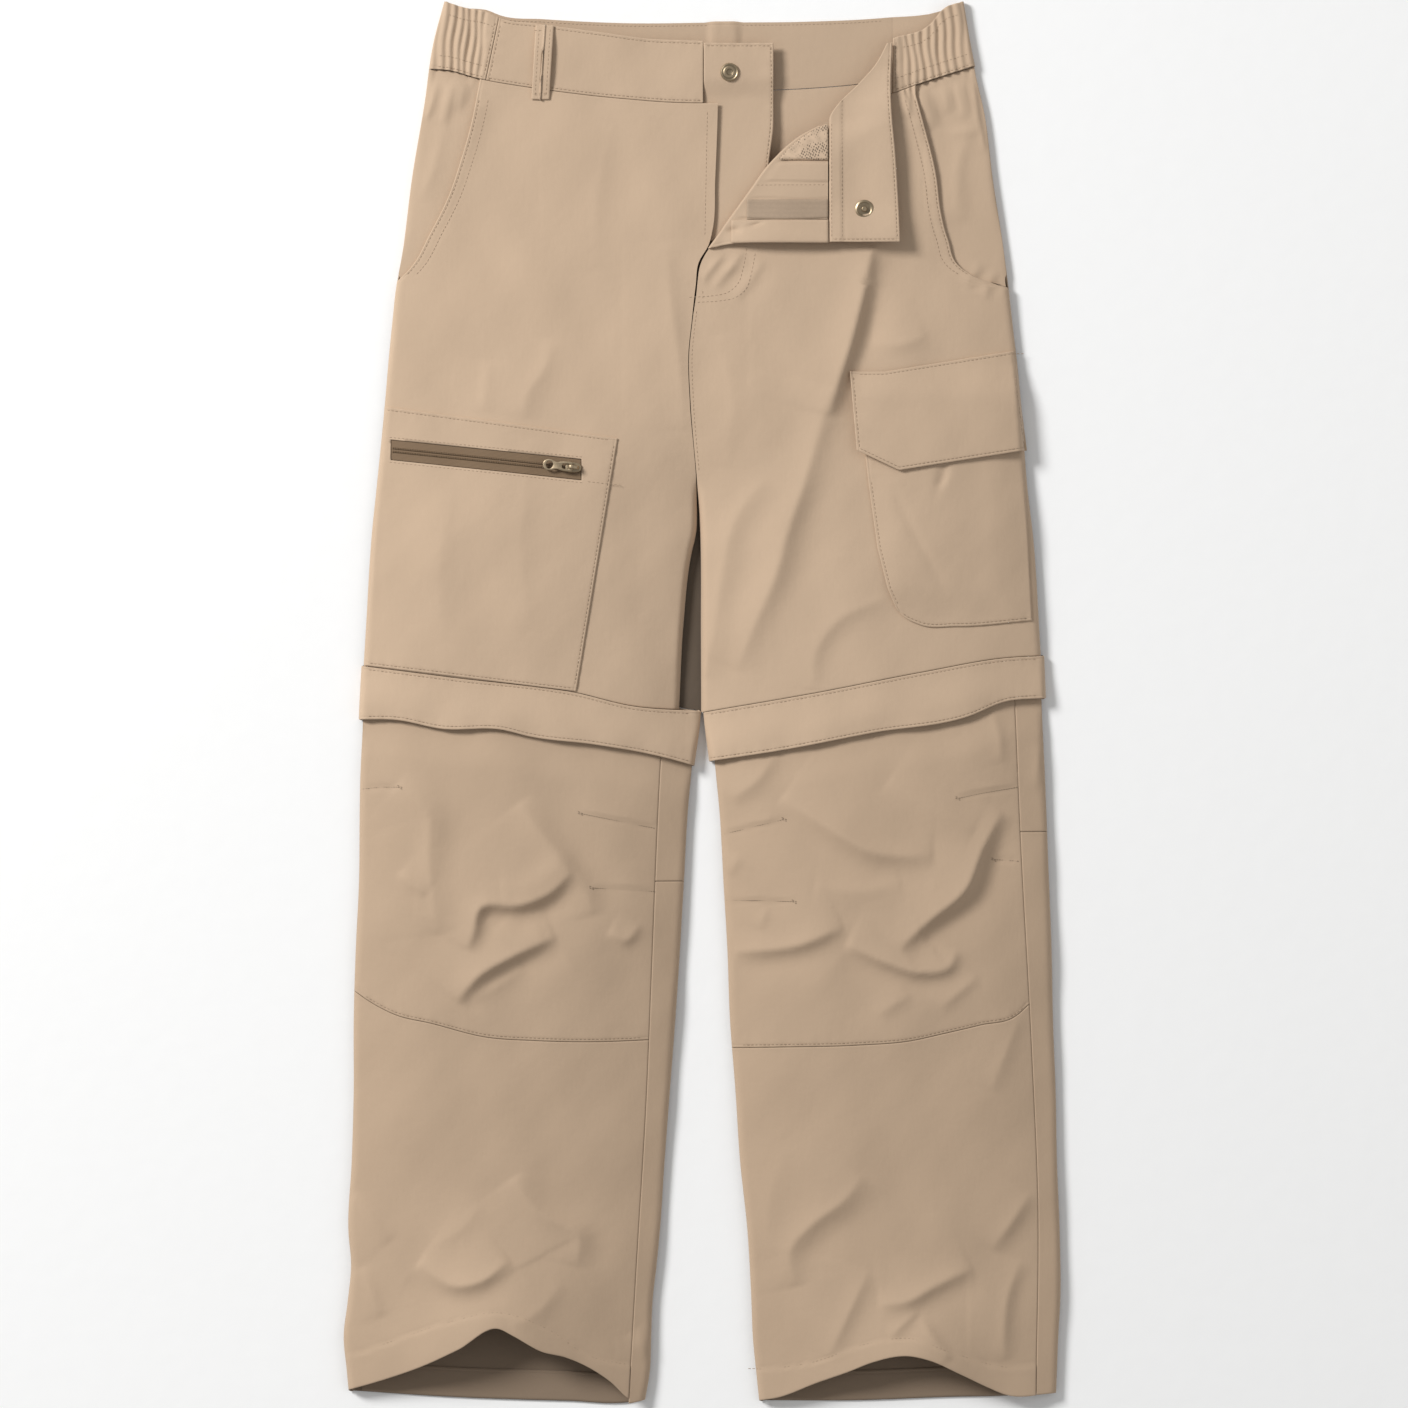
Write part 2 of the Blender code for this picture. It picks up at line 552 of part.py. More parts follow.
def turned(name, profile, place, finish, steps=20):
    """A round piece from (radius, height) pairs that start and end on its axis."""
    work = bmesh.new()
    verts = [work.verts.new((radius, 0.0, height)) for radius, height in profile]
    edges = [work.edges.new(pair) for pair in zip(verts, verts[1:])]
    bmesh.ops.spin(work, geom=verts + edges, cent=(0, 0, 0), axis=(0, 0, 1),
                   angle=math.tau, steps=steps, use_merge=True)
    bmesh.ops.remove_doubles(work, verts=work.verts[:], dist=1e-6)
    bmesh.ops.recalc_face_normals(work, faces=work.faces[:])
    item = add_object(name, work, finish, wall=0)
    item.location = place
    return item


def build_backs():
    for side, tube, flap_seam, sign in (
            ("right", "thigh_right", BACK_FLAP_SEAM_RIGHT, -1),
            ("left", "thigh_left", BACK_FLAP_SEAM_LEFT, 1)):
        table = TUBES[tube][0]
        middle = lambda down, sign=sign: 0 * down + sign * GAP / 2
        if sign < 0:
            places = fractions(9, False, True, 0.22)
            span = (on_back(tube), middle, edge_left(table), places)
        else:
            places = fractions(9, True, False, 0.22)
            span = (on_back(tube), edge_right(table), middle, places)
        low = shifted(curve(flap_seam), -BACK_GAP)
        high = shifted(curve(BACK_BAND_SEAM), BACK_GAP / 2)
        add_object("back_" + side, sheet_mesh(patch([span], low, high, 9)), CLOTH)


def fold_width(down):
    """Room for the rolled edge of the fly corner, which dies out at the centre seam."""
    return FOLD_WIDTH * ease(0.213, 0.188, down)


def build_fronts():
    """The two upper fronts; their open sheets are returned for what lies on them."""
    right_edge = edge_right(THIGH_RIGHT, -GAP / 2)

    def right_start(down):
        outline = left_of(THIGH_RIGHT, down)
        pocket = along(POCKET_EDGE_RIGHT, down)
        return np.where(np.asarray(down) < 0.210, pocket, outline)

    def left_stop(down):
        outline = right_of(THIGH_LEFT, down)
        pocket = along(POCKET_EDGE_LEFT, down)
        return np.where(np.asarray(down) < 0.214, pocket, outline)

    def left_start(down):
        inner = left_of(THIGH_LEFT, down)
        fold = along(FOLD_LINE, down) + 0.35 * fold_width(down)
        return np.where(np.asarray(down) < 0.213, fold, inner) + GAP / 2

    right = patch(
        [(on_front("thigh_right"), right_start, right_edge, fractions(17, True, True, 0.23))],
        shifted(curve(FLAP_SEAM_RIGHT), -GAP), shifted(curve(BAND_SEAM), GAP / 2), 17,
        POCKET_ROWS_RIGHT)
    left = patch(
        [(on_front("thigh_left"), left_start, left_stop, fractions(17, True, True, 0.23))],
        shifted(curve(FLAP_SEAM_LEFT), -GAP), shifted(curve(BAND_SEAM), GAP / 2), 17,
        POCKET_ROWS_LEFT)
    add_object("front_right", sheet_mesh(right), CLOTH)
    add_object("front_left", sheet_mesh(left), CLOTH)
    return right, left


def build_side_facings():
    lowered = lambda across, down: -POCKET_TUCK + 0 * down
    top = shifted(curve(BAND_SEAM), GAP / 2)
    right = (on_front("thigh_right", lowered), edge_left(THIGH_RIGHT),
             lambda down: along(POCKET_EDGE_RIGHT, down) + FACING_UNDER * ease(0.190, 0.165, down),
             fractions(7, True, False, 0.03))
    add_object("side_facing_right", sheet_mesh(patch([right], steady(POCKET_FACING_BOTTOM), top, 8)), CLOTH)
    left = (on_front("thigh_left", lowered),
            lambda down: along(POCKET_EDGE_LEFT, down) - FACING_UNDER * ease(0.180, 0.155, down),
            edge_right(THIGH_LEFT), fractions(7, False, True, 0.03))
    add_object("side_facing_left", sheet_mesh(patch([left], steady(POCKET_FACING_BOTTOM), top, 8)), CLOTH)


def gathered(table):
    def height(across, down):
        total = 0 * (across + down)
        for centre, half, rise in table:
            lean = 0.10 * (down - 0.03) * np.sign(centre)
            total = total + rise * (2 * np.exp(-((across - centre - lean) / half) ** 2) - 0.6)
        return total
    return height


def build_waistband():
    low_front = shifted(curve(BAND_SEAM), -GAP / 2)
    low_back = shifted(curve(BACK_BAND_SEAM), -BACK_GAP / 2)
    back_edges = (low_back, curve(BACK_TOP))
    waist = TUBES["waist"][0]

    def loop_bump(across, down):
        away = np.abs(across - BACK_LOOP_MIDDLE)
        return BACK_LOOP_BUMP * ease(0.0125, 0.0085, away) + 0 * down

    middle = (on_back("waist", loop_bump),
              steady_down(BACK_BAND_RIGHT), steady_down(BACK_BAND_LEFT),
              np.concatenate([np.linspace(0, 0.37, 3), np.linspace(0.385, 0.46, 6),
                              np.linspace(0.6, 1, 3)]))
    add_object("waistband_back", sheet_mesh(patch([middle], low_back, curve(BACK_TOP), 3)), CLOTH)

    places = fractions(12, True, False, 0.045)
    start = curve(ELASTIC_START_RIGHT)
    back_places = fractions(6, True, False, 0.045)
    edge = edge_left(waist)
    back_end = steady_down(BACK_BAND_LEFT - GAP)
    spans = [(on_back("waist"), back_end, edge, (1 - back_places[::-1])[:-1], *back_edges),
             (on_front("waist", gathered(GATHERS_RIGHT)), edge, shifted(start, -GAP / 2), places)]
    add_object("waistband_elastic_right",
               sheet_mesh(patch(spans, low_front, curve(FRONT_TOP), 4)), CLOTH)

    start = curve(ELASTIC_START_LEFT)
    edge = edge_right(waist)
    back_end = steady_down(BACK_BAND_RIGHT + GAP)
    spans = [(on_front("waist", gathered(GATHERS_LEFT)), shifted(start, GAP / 2), edge,
              (1 - fractions(14, True, False, 0.055)[::-1])[:-1]),
             (on_back("waist"), edge, back_end, back_places, *back_edges)]
    add_object("waistband_elastic_left",
               sheet_mesh(patch(spans, low_front, curve(FRONT_TOP), 4)), CLOTH)

    flat = (on_front("waist"), shifted(curve(ELASTIC_START_RIGHT), GAP / 2),
            steady_down(CENTRE_SEAM), np.linspace(0, 1, 10))
    add_object("waistband_front_right",
               sheet_mesh(patch([flat], low_front, curve(FRONT_TOP), 4)), CLOTH)
    hidden = (on_front("waist"), shifted(curve(FOLD_LINE), GAP / 2),
              shifted(curve(ELASTIC_START_LEFT), -GAP / 2), np.linspace(0, 1, 4))
    add_object("waistband_under_fold_left",
               sheet_mesh(patch([hidden], low_front, steady(0.0310), 4)), CLOTH)


def build_belt_loops():
    def over(across, down):
        middle = 1 - np.abs(2 * ease(LOOP_TOP, LOOP_BOTTOM, down) - 1) ** 4
        return OVERLAY_LIFT + WALL + 0.0003 + LOOP_RISE * middle + 0 * across
    start = lambda down: -0.1245 - 0.06 * (down - 0.02)
    loop = (on_front("waist", over), start, lambda down: start(down) + LOOP_WIDTH,
            np.linspace(0, 1, 3))
    add_object("belt_loop_right_front",
               sheet_mesh(patch([loop], steady(LOOP_BOTTOM), steady(LOOP_TOP), 7)), CLOTH)
    under = (on_back("waist"), steady_down(BACK_LOOP_MIDDLE + LOOP_WIDTH / 2),
             steady_down(BACK_LOOP_MIDDLE - LOOP_WIDTH / 2), np.linspace(0, 1, 3))
    add_object("belt_loop_back",
               sheet_mesh(patch([under], steady(0.0640), steady(0.0150), 3)), CLOTH,
               wall=BACK_LOOP_WALL)


def build_fly():
    def tuck(across, down):
        return -FLY_TUCK * ease(0.056, 0.074, down) + 0 * across
    shield = (on_front("waist", tuck), steady_down(CENTRE_SEAM + GAP + 0.0001),
              lambda down: SHIELD_RIGHT - 0.004 * ease(0.09, 0.13, down), np.linspace(0, 1, 5))
    add_object("fly_shield",
               sheet_mesh(patch([shield], steady(SHIELD_BOTTOM), steady(0.0315), 9)), CLOTH)


def corner_offset(across, down):
    """How far the turned-back corner stands off the front under it."""
    away = across - along(FOLD_LINE, down)
    return CORNER_START + CORNER_RISE * ease(0.0, 0.050, away)


def folded_sheet(start, stop, low, high, columns, rows):
    """A turned-back sheet: a rolled edge along its start, then the sheet over the front."""
    flat = patch([(on_front("waist", corner_offset), start, stop, np.linspace(0, 1, columns))],
                 low, high, rows)
    radius = (CORNER_START + WALL) / 2
    bends = []
    for degrees in (0, 45):
        angle = math.radians(degrees)
        bend = flat[:, :1, :].copy()
        down = LENGTH / 2 - bend[:, :, 1]
        bend[:, :, 0] -= (0.3 + 0.7 * math.cos(angle)) * fold_width(down) * 0.62
        bend[:, :, 2] += radius * (math.sin(angle) - 1)
        bends.append(bend)
    return np.concatenate(bends + [flat], axis=1)


def build_corner():
    start = lambda down: along(FOLD_LINE, down) + 0.62 * fold_width(down) + 0.0004
    low = lambda across: CORNER_BOTTOM + 0.026 * ease(0.024, -0.004, across)
    panel = folded_sheet(start, steady_down(CORNER_RIGHT), low, steady(0.0940), 8, 9)
    add_object("front_left_turnback", sheet_mesh(panel), CLOTH)
    strip = folded_sheet(curve(STRIP_SEAM), curve(STRIP_EDGE), steady(CORNER_BOTTOM - 0.0010),
                         steady(0.0320), 5, 13)
    add_object("waistband_front_left", sheet_mesh(strip[:, 2:, :]), CLOTH)
    for name, outline, finish, wall in (
            ("fly_facing_left", FLY_FACING, CLOTH, 0.0011),
            ("fly_zip_tape_left", FLY_TAPE, ZIP_CLOTH, THIN_WALL),
            ("pocket_bag_mesh", MESH_BAG, MESH_CLOTH, THIN_WALL)):
        work = sheet_mesh(panel[:, 2:, :])
        cut_outline(work, outline, steady(OVERLAY_LIFT))
        add_object(name, work, finish, wall=wall, outward=True)


def build_pockets(front_right, front_left):
    work = sheet_mesh(front_right)
    cut_outline(work, THIGH_POCKET, steady(OVERLAY_LIFT))
    cut_window(work, ZIP_WINDOW)
    add_object("thigh_pocket", work, CLOTH, outward=True)
    inset = 0.0006
    signs = ((1, -1), (-1, -1), (-1, 1), (1, 1))
    tape = [(x + inset * sx, down + inset * sd)
            for (x, down), (sx, sd) in zip(ZIP_WINDOW, signs)]
    work = sheet_mesh(front_right)
    cut_outline(work, tape, steady(OVERLAY_LIFT))
    add_object("thigh_zip_tape", work, ZIP_CLOTH, wall=THIN_WALL, outward=True)

    def body_lift(place):
        down = LENGTH / 2 - place.y
        inward = min(place.x - 0.118, 0.243 - place.x, 0.466 - down)
        return OVERLAY_LIFT + 0.0022 * float(ease(0.0, 0.03, inward))

    def flap_lift(place):
        down = LENGTH / 2 - place.y
        return OVERLAY_LIFT + 0.0001 + 0.0052 * float(ease(0.264, 0.300, down))
    work = sheet_mesh(front_left)
    cut_outline(work, CARGO_BODY, body_lift)
    add_object("cargo_pocket_body", work, CLOTH, outward=True)
    work = sheet_mesh(front_left)
    cut_outline(work, CARGO_FLAP, flap_lift)
    add_object("cargo_pocket_flap", work, CLOTH, outward=True)


def ring_spans(tube, offset, floor, count, back_edges):
    table = TUBES[tube][0]
    places = fractions(count, True, True, 0.25)
    back = fractions(9, True, True, 0.25)[1:]
    return [(on_front(tube, offset), edge_left(table), edge_right(table), places),
            (on_back(tube, floor), edge_right(table), edge_left(table), back, *back_edges)]


def close_ring(points):
    """Brings both rims of the edges to one height, so that the ring closes."""
    front = points[:, 0, 2].copy()
    points[:, -1, :] = points[:, 0, :]
    points[:, -1, 2] = front
    return points


def tucked(seam_edge):
    """Offset of cloth under a storm flap, which fades out below the flap's free edge."""
    def offset(across, down):
        below = down - along(seam_edge, across)
        return -TUCK * (1 - ease(0.002, 0.030, below))
    return offset


def raised(seam_edge):
    def floor(across, down):
        below = down - along(seam_edge, across)
        return UNDER_FLAP_FLOOR * (1 - ease(0.001, 0.016, below))
    return floor


def build_zip_off_bands():
    for side, seam, edge, back_seam in (
            ("right", FLAP_SEAM_RIGHT, FLAP_EDGE_RIGHT, BACK_FLAP_SEAM_RIGHT),
            ("left", FLAP_SEAM_LEFT, FLAP_EDGE_LEFT, BACK_FLAP_SEAM_LEFT)):
        def lift(across, down, seam=seam):
            return FLAP_LIFT * ease(0.0, 0.030, down - along(seam, across))
        spans = ring_spans("flap_" + side, lift, 0.0, 17, (curve(edge), curve(back_seam)))
        ring = close_ring(patch(spans, curve(edge), curve(seam), 4))
        add_object("storm_flap_" + side, sheet_mesh(ring, closed=True), CLOTH)
        low = shifted(curve(seam), KNEE_ZIP_BOTTOM)
        high = shifted(curve(seam), KNEE_ZIP_TOP)
        spans = ring_spans("shin_" + side, tucked(edge), raised(edge), 17, (low, high))
        ring = close_ring(patch(spans, low, high, 2))
        add_object("knee_zip_" + side, sheet_mesh(ring, closed=True), ZIP_CLOTH,
                   wall=THIN_WALL)


def build_lower_legs():
    right = SHIN_RIGHT
    left = SHIN_LEFT
    inseam = curve(INSEAM_RIGHT)
    outseam = curve(OUTSEAM_LEFT)
    front_spans = {
        "right": (edge_left(right), shifted(inseam, -GAP), fractions(16, True, False, 0.23)),
        "left": (edge_left(left), shifted(outseam, -GAP), fractions(16, True, False, 0.23))}
    tables = {
        "right": (FLAP_SEAM_RIGHT, FLAP_EDGE_RIGHT, KNEE_SEAM_RIGHT, HEM_FRONT_RIGHT, HEM_BACK_RIGHT),
        "left": (FLAP_SEAM_LEFT, FLAP_EDGE_LEFT, KNEE_SEAM_LEFT, HEM_FRONT_LEFT, HEM_BACK_LEFT)}
    for side, (seam, edge, knee, hem, hem_back) in tables.items():
        tube = "shin_" + side
        start, stop, places = front_spans[side]
        under = tucked(edge)
        top = shifted(curve(seam), KNEE_ZIP_BOTTOM + GAP)
        span = (on_front(tube, under), start, stop, places)
        add_object("knee_panel_" + side,
                   sheet_mesh(patch([span], shifted(curve(knee), -GAP / 2), top, 12)), CLOTH_LOWER)
        add_object("shin_panel_" + side,
                   sheet_mesh(patch([span], curve(hem), shifted(curve(knee), GAP / 2), 13)), CLOTH_LOWER)
        wrap_start = shifted(inseam if side == "right" else outseam, GAP)
        table = TUBES[tube][0]
        wrap = fractions(6, False, True, 0.02)
        back = fractions(9, True, True, 0.24)[1:]
        spans = [(on_front(tube, under), wrap_start, edge_right(table), wrap),
                 (on_back(tube, raised(edge)), edge_right(table), edge_left(table), back)]
        level = BACK_KNEE_SEAM[side]
        for name, low, high, rows in (
                ("back_knee_", steady(level), top, 6),
                ("back_calf_", curve(hem_back), steady(level + GAP), 10)):
            add_object(name + side, sheet_mesh(patch(spans, low, high, rows)), CLOTH_LOWER)
        strip = (on_back(tube, WALL + GAP), edge_right(table, -HEM_TURN_INSET),
                 edge_left(table, HEM_TURN_INSET), np.linspace(0, 1, 8))
        add_object("hem_turn_back_" + side,
                   sheet_mesh(patch([strip], shifted(curve(hem_back), -HEM_TURN_FROM),
                                    shifted(curve(hem_back), -HEM_TURN_TO), 2)),
                   CLOTH_LOWER, wall=THIN_WALL)


def flat_shape(name, outlines, thickness):
    """A flat outline with holes, as a filled curve of the given thickness, made a mesh."""
    data = bpy.data.curves.new(name, "CURVE")
    data.dimensions = "2D"
    data.fill_mode = "BOTH"
    data.extrude = thickness / 2
    for outline in outlines:
        spline = data.splines.new("POLY")
        spline.points.add(len(outline) - 1)
        spline.use_cyclic_u = True
        for point, (x, y) in zip(spline.points, outline):
            point.co = (x, y, 0.0, 1.0)
    guide = bpy.data.objects.new(name + "_curve", data)
    bpy.context.scene.collection.objects.link(guide)
    bpy.context.view_layer.update()
    shape = bpy.data.meshes.new_from_object(guide.evaluated_get(bpy.context.evaluated_depsgraph_get()))
    bpy.data.objects.remove(guide, do_unlink=True)
    work = bmesh.new()
    work.from_mesh(shape)
    bmesh.ops.remove_doubles(work, verts=work.verts[:], dist=1e-6)
    return work


def oval(x, y, half_x, half_y, steps=14):
    turns = [math.tau * index / steps for index in range(steps)]
    return [(x + half_x * math.cos(turn), y + half_y * math.sin(turn)) for turn in turns]


def pull_outline():
    """Half widths of the pull along its length, mirrored: ring end, waist, slotted end."""
    return PULL_HALVES + [(x, -half) for x, half in reversed(PULL_HALVES)]


def build_zip_slider():
    across, down = ZIP_AT
    tape_top = float(front_z("thigh_right", np.array(across), np.array(down))) + OVERLAY_LIFT + THIN_WALL
    place = (across, LENGTH / 2 - down, tape_top + OVERLAY_LIFT)
    work = bmesh.new()
    bmesh.ops.create_cube(work, size=1.0)
    bmesh.ops.scale(work, vec=SLIDER_SIZE, verts=work.verts[:])
    bmesh.ops.translate(work, vec=(SLIDER_FORWARD, 0.0, SLIDER_SIZE[2] / 2), verts=work.verts[:])
    upright = [edge for edge in work.edges if abs(edge.verts[0].co.z - edge.verts[1].co.z) > 0.001]
    bmesh.ops.bevel(work, geom=upright, offset=SLIDER_ROUND, segments=3, profile=0.5,
                    affect="EDGES", material=-1)
    slider = add_object("thigh_zip_slider", work, METAL, wall=0)
    bridge_work = flat_shape("bridge", [BRIDGE_OUTLINE, BRIDGE_HOLE], BRIDGE_WIDTH)
    bmesh.ops.rotate(bridge_work, verts=bridge_work.verts[:], cent=(0, 0, 0),
                     matrix=Matrix.Rotation(math.radians(90), 3, "X"))
    bridge_data = bpy.data.meshes.new("slider_bridge")
    bridge_work.to_mesh(bridge_data)
    bridge_work.free()
    bridge = bpy.data.objects.new("slider_bridge", bridge_data)
    CUTTERS.objects.link(bridge)
    bridge.hide_render = True
    bridge.display_type = "WIRE"
    join = slider.modifiers.new("bridge", "BOOLEAN")
    join.operation = "UNION"
    join.solver = "EXACT"
    join.object = bridge
    turn = (0.0, 0.0, ZIP_SLOPE)
    for item in (slider, bridge):
        item.location = place
        item.rotation_euler = turn

    pull = flat_shape("pull", [pull_outline(), oval(*PULL_HOLE), PULL_SLOT], PULL_WALL)
    tab = add_object("thigh_zip_pull", pull, METAL, wall=0)
    tab.location = (place[0], place[1], place[2] + PULL_HEIGHT)
    tab.rotation_euler = (0.0, PULL_DROOP, ZIP_SLOPE)


def build_snaps():
    gap = OVERLAY_LIFT + 0.0001
    across, down = SOCKET_AT
    seat = float(front_z("waist", np.array(across), np.array(down))) + gap
    turned("snap_socket", SOCKET_PROFILE, (across, LENGTH / 2 - down, seat), METAL)
    across, down = STUD_AT
    offset = corner_offset(np.array(across), np.array(down))
    seat = float(front_z("waist", np.array(across), np.array(down), offset)) + gap
    turned("snap_stud", STUD_PROFILE, (across, LENGTH / 2 - down, seat), METAL)


clear_scene()
PARTS = collection("convertible_trousers")
CUTTERS = collection("cutters")
build_backs()
upper_right, upper_left = build_fronts()
build_side_facings()
build_waistband()
build_belt_loops()
build_fly()
build_corner()
build_pockets(upper_right, upper_left)
build_zip_off_bands()
build_lower_legs()
build_zip_slider()
build_snaps()
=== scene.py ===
"""Looks of convertible zip-off trousers laid flat: cloth, folds, seams, stitching, zips and snaps.

Metres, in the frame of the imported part: +Y to the waist, +X to the wearer's left, front face up.
"down" is the distance below the top of the waistband, "across" the distance from the middle.
The tables of outlines and seams, and the functions that read them, are those of the part's source.
"""
import math

import bmesh
import bpy
import numpy as np
from bpy.props import FloatProperty, FloatVectorProperty, PointerProperty
from mathutils import Matrix, Vector


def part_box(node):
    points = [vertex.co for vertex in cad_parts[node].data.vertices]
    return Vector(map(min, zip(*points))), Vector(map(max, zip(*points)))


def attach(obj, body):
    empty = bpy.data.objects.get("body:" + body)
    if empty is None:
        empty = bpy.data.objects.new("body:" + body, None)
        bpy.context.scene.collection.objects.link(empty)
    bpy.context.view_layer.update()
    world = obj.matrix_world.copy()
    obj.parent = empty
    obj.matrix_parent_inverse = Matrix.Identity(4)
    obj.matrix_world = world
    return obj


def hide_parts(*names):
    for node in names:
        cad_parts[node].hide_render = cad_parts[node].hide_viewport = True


bl_info = {
    "name": "Convertible trousers",
    "version": (1, 0, 0),
    "blender": (4, 5, 0),
    "location": "View3D > Sidebar > Trousers",
    "description": "Dresses the packed trousers in cloth with folds, seams and stitching",
    "category": "Object",
}

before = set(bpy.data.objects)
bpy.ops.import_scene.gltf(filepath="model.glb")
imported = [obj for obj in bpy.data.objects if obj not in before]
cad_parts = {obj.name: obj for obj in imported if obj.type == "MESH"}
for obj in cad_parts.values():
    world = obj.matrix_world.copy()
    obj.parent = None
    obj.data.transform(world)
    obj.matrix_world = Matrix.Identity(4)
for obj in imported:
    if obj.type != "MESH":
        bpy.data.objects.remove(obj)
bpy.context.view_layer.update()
BODY = "garment"

LENGTH = 1.050
WALL = 0.0011
THIN_WALL = 0.0008
GAP = 0.0003
SEAM_GAP = 0.00008
ROLL = 0.0050
EDGE_TOP = 0.0077
LOWEST_TOP = 0.0056
BACK_RIM = 0.0030
FRONT_RIM = 0.0046
RIM_ON_BACK = 0.0018
TUCK = 0.0026
FLAP_LIFT = 0.0024
UNDER_FLAP_FLOOR = 0.0020
FLY_TUCK = 0.0028
POCKET_TUCK = 0.0026
CORNER_START = 0.0032
CORNER_RISE = 0.0036
FOLD_WIDTH = 0.0034
BACK_GAP = 0.0006
SNAP_RADIUS = 0.0069
LOOP_WIDTH = 0.0135
LOOP_TOP = 0.0185
LOOP_BOTTOM = 0.0740
LOOP_RISE = 0.0022
BACK_LOOP_MIDDLE = 0.0165
BACK_LOOP_BUMP = 0.0016
BACK_BAND_LEFT = -0.1570
BACK_BAND_RIGHT = 0.1425
CENTRE_SEAM = 0.0010
SHIELD_RIGHT = 0.0535
SHIELD_BOTTOM = 0.1800
CORNER_RIGHT = 0.0942
CORNER_BOTTOM = 0.1825
POCKET_FACING_BOTTOM = 0.2180
FACING_FROM = 0.2050
FACING_UNDER = 0.005
KNEE_ZIP_TOP = 0.0030
KNEE_ZIP_BOTTOM = 0.0140
BACK_KNEE_SEAM = {"right": 0.659, "left": 0.622}
HEM_TURN_FROM = 0.0010
HEM_TURN_TO = 0.0220
HEM_TURN_INSET = 0.010
OVERLAY_LIFT = GAP + 0.0001

# The free edges of the turned corner curl up a little more than the solid's
CORNER_CURL = 0.0030

# Sewing: rows of stitches sit in grooves beside an edge, and the cloth puckers between them
TOPSTITCH = 0.0018
SECOND_ROW = 0.0078
EDGE_ROUND = 0.0009
EDGE_DROP = 0.00045
GROOVE = 0.00022
GROOVE_WIDTH = 0.00055
PUCKER = 0.00020
PUCKER_REACH = 0.0055
EDGE_STEPS = (0.0, 0.00006, 0.0005, 0.0010, 0.0015, 0.0020, 0.0027, 0.0037, 0.0050, 0.0068)

# A wave texture turns this many radians in one unit; width of a pair of woven threads
WAVE_TURNS = 20
THREAD_WIDTH = 0.00062
WEAVE_DEPTH = 0.00006
# Down from here to there, the cloth that shows the inside goes from open to deep shade
INNER_FROM = 0.165
INNER_TO = 0.300

# Grid cells of the cloth that shows, of gathered cloth and of the cloth that lies on the floor
FINE = 0.0023
GATHER_CELL = 0.0011
COARSE = 0.0070

# Outlines: down, left edge, right edge as the viewer sees them
THIGH_RIGHT = [
    (0.000, -0.1930, 0.0120), (0.030, -0.2010, 0.0120), (0.077, -0.2080, 0.0120),
    (0.134, -0.2175, 0.0100), (0.172, -0.2222, 0.0080), (0.183, -0.2236, 0.0052),
    (0.196, -0.2258, -0.0022), (0.213, -0.2290, -0.0045), (0.240, -0.2320, -0.0075),
    (0.265, -0.2345, -0.0100), (0.300, -0.2375, -0.0090), (0.366, -0.2440, -0.0040),
    (0.400, -0.2475, -0.0045), (0.413, -0.2485, -0.0075), (0.464, -0.2515, -0.0135),
    (0.530, -0.2555, -0.0170)]
THIGH_LEFT = [
    (0.000, -0.0037, 0.1960), (0.030, -0.0037, 0.2010), (0.055, -0.0037, 0.2050),
    (0.081, -0.0037, 0.2110), (0.134, -0.0037, 0.2180), (0.186, -0.0037, 0.2260),
    (0.213, -0.0037, 0.2295), (0.240, -0.0072, 0.2325), (0.265, -0.0097, 0.2355),
    (0.300, -0.0087, 0.2390), (0.366, -0.0034, 0.2440), (0.400, -0.0015, 0.2480),
    (0.475, -0.0010, 0.2530), (0.530, -0.0008, 0.2560)]
FLAP_RIGHT = [
    (0.495, -0.2550, -0.0006), (0.538, -0.2572, -0.0012), (0.575, -0.2574, -0.0060)]
FLAP_LEFT = [
    (0.485, 0.0006, 0.2562), (0.533, 0.0010, 0.2580), (0.570, 0.0053, 0.2582)]
SHIN_RIGHT = [
    (0.500, -0.2520, -0.0050), (0.550, -0.2545, -0.0060), (0.580, -0.2560, -0.0082),
    (0.606, -0.2565, -0.0105), (0.659, -0.2570, -0.0135), (0.711, -0.2595, -0.0165),
    (0.764, -0.2610, -0.0200), (0.816, -0.2610, -0.0240), (0.869, -0.2625, -0.0280),
    (0.921, -0.2650, -0.0315), (0.947, -0.2630, -0.0340), (0.974, -0.2655, -0.0370),
    (1.000, -0.2685, -0.0380), (1.026, -0.2662, -0.0390), (1.050, -0.2640, -0.0430)]
SHIN_LEFT = [
    (0.480, 0.0050, 0.2530), (0.540, 0.0070, 0.2550), (0.580, 0.0105, 0.2570),
    (0.606, 0.0130, 0.2580), (0.659, 0.0160, 0.2600), (0.711, 0.0190, 0.2620),
    (0.764, 0.0210, 0.2630), (0.816, 0.0250, 0.2650), (0.869, 0.0285, 0.2660),
    (0.921, 0.0340, 0.2680), (0.974, 0.0370, 0.2685), (1.000, 0.0380, 0.2670),
    (1.026, 0.0405, 0.2660), (1.050, 0.0430, 0.2650)]

# Loft of the front above its edges: down, height
CROWN = [
    (0.000, 0.0008), (0.060, 0.0022), (0.120, 0.0042), (0.200, 0.0078), (0.300, 0.0108),
    (0.400, 0.0122), (0.530, 0.0112), (0.620, 0.0132), (0.700, 0.0152), (0.800, 0.0124),
    (0.920, 0.0104), (1.050, 0.0084)]

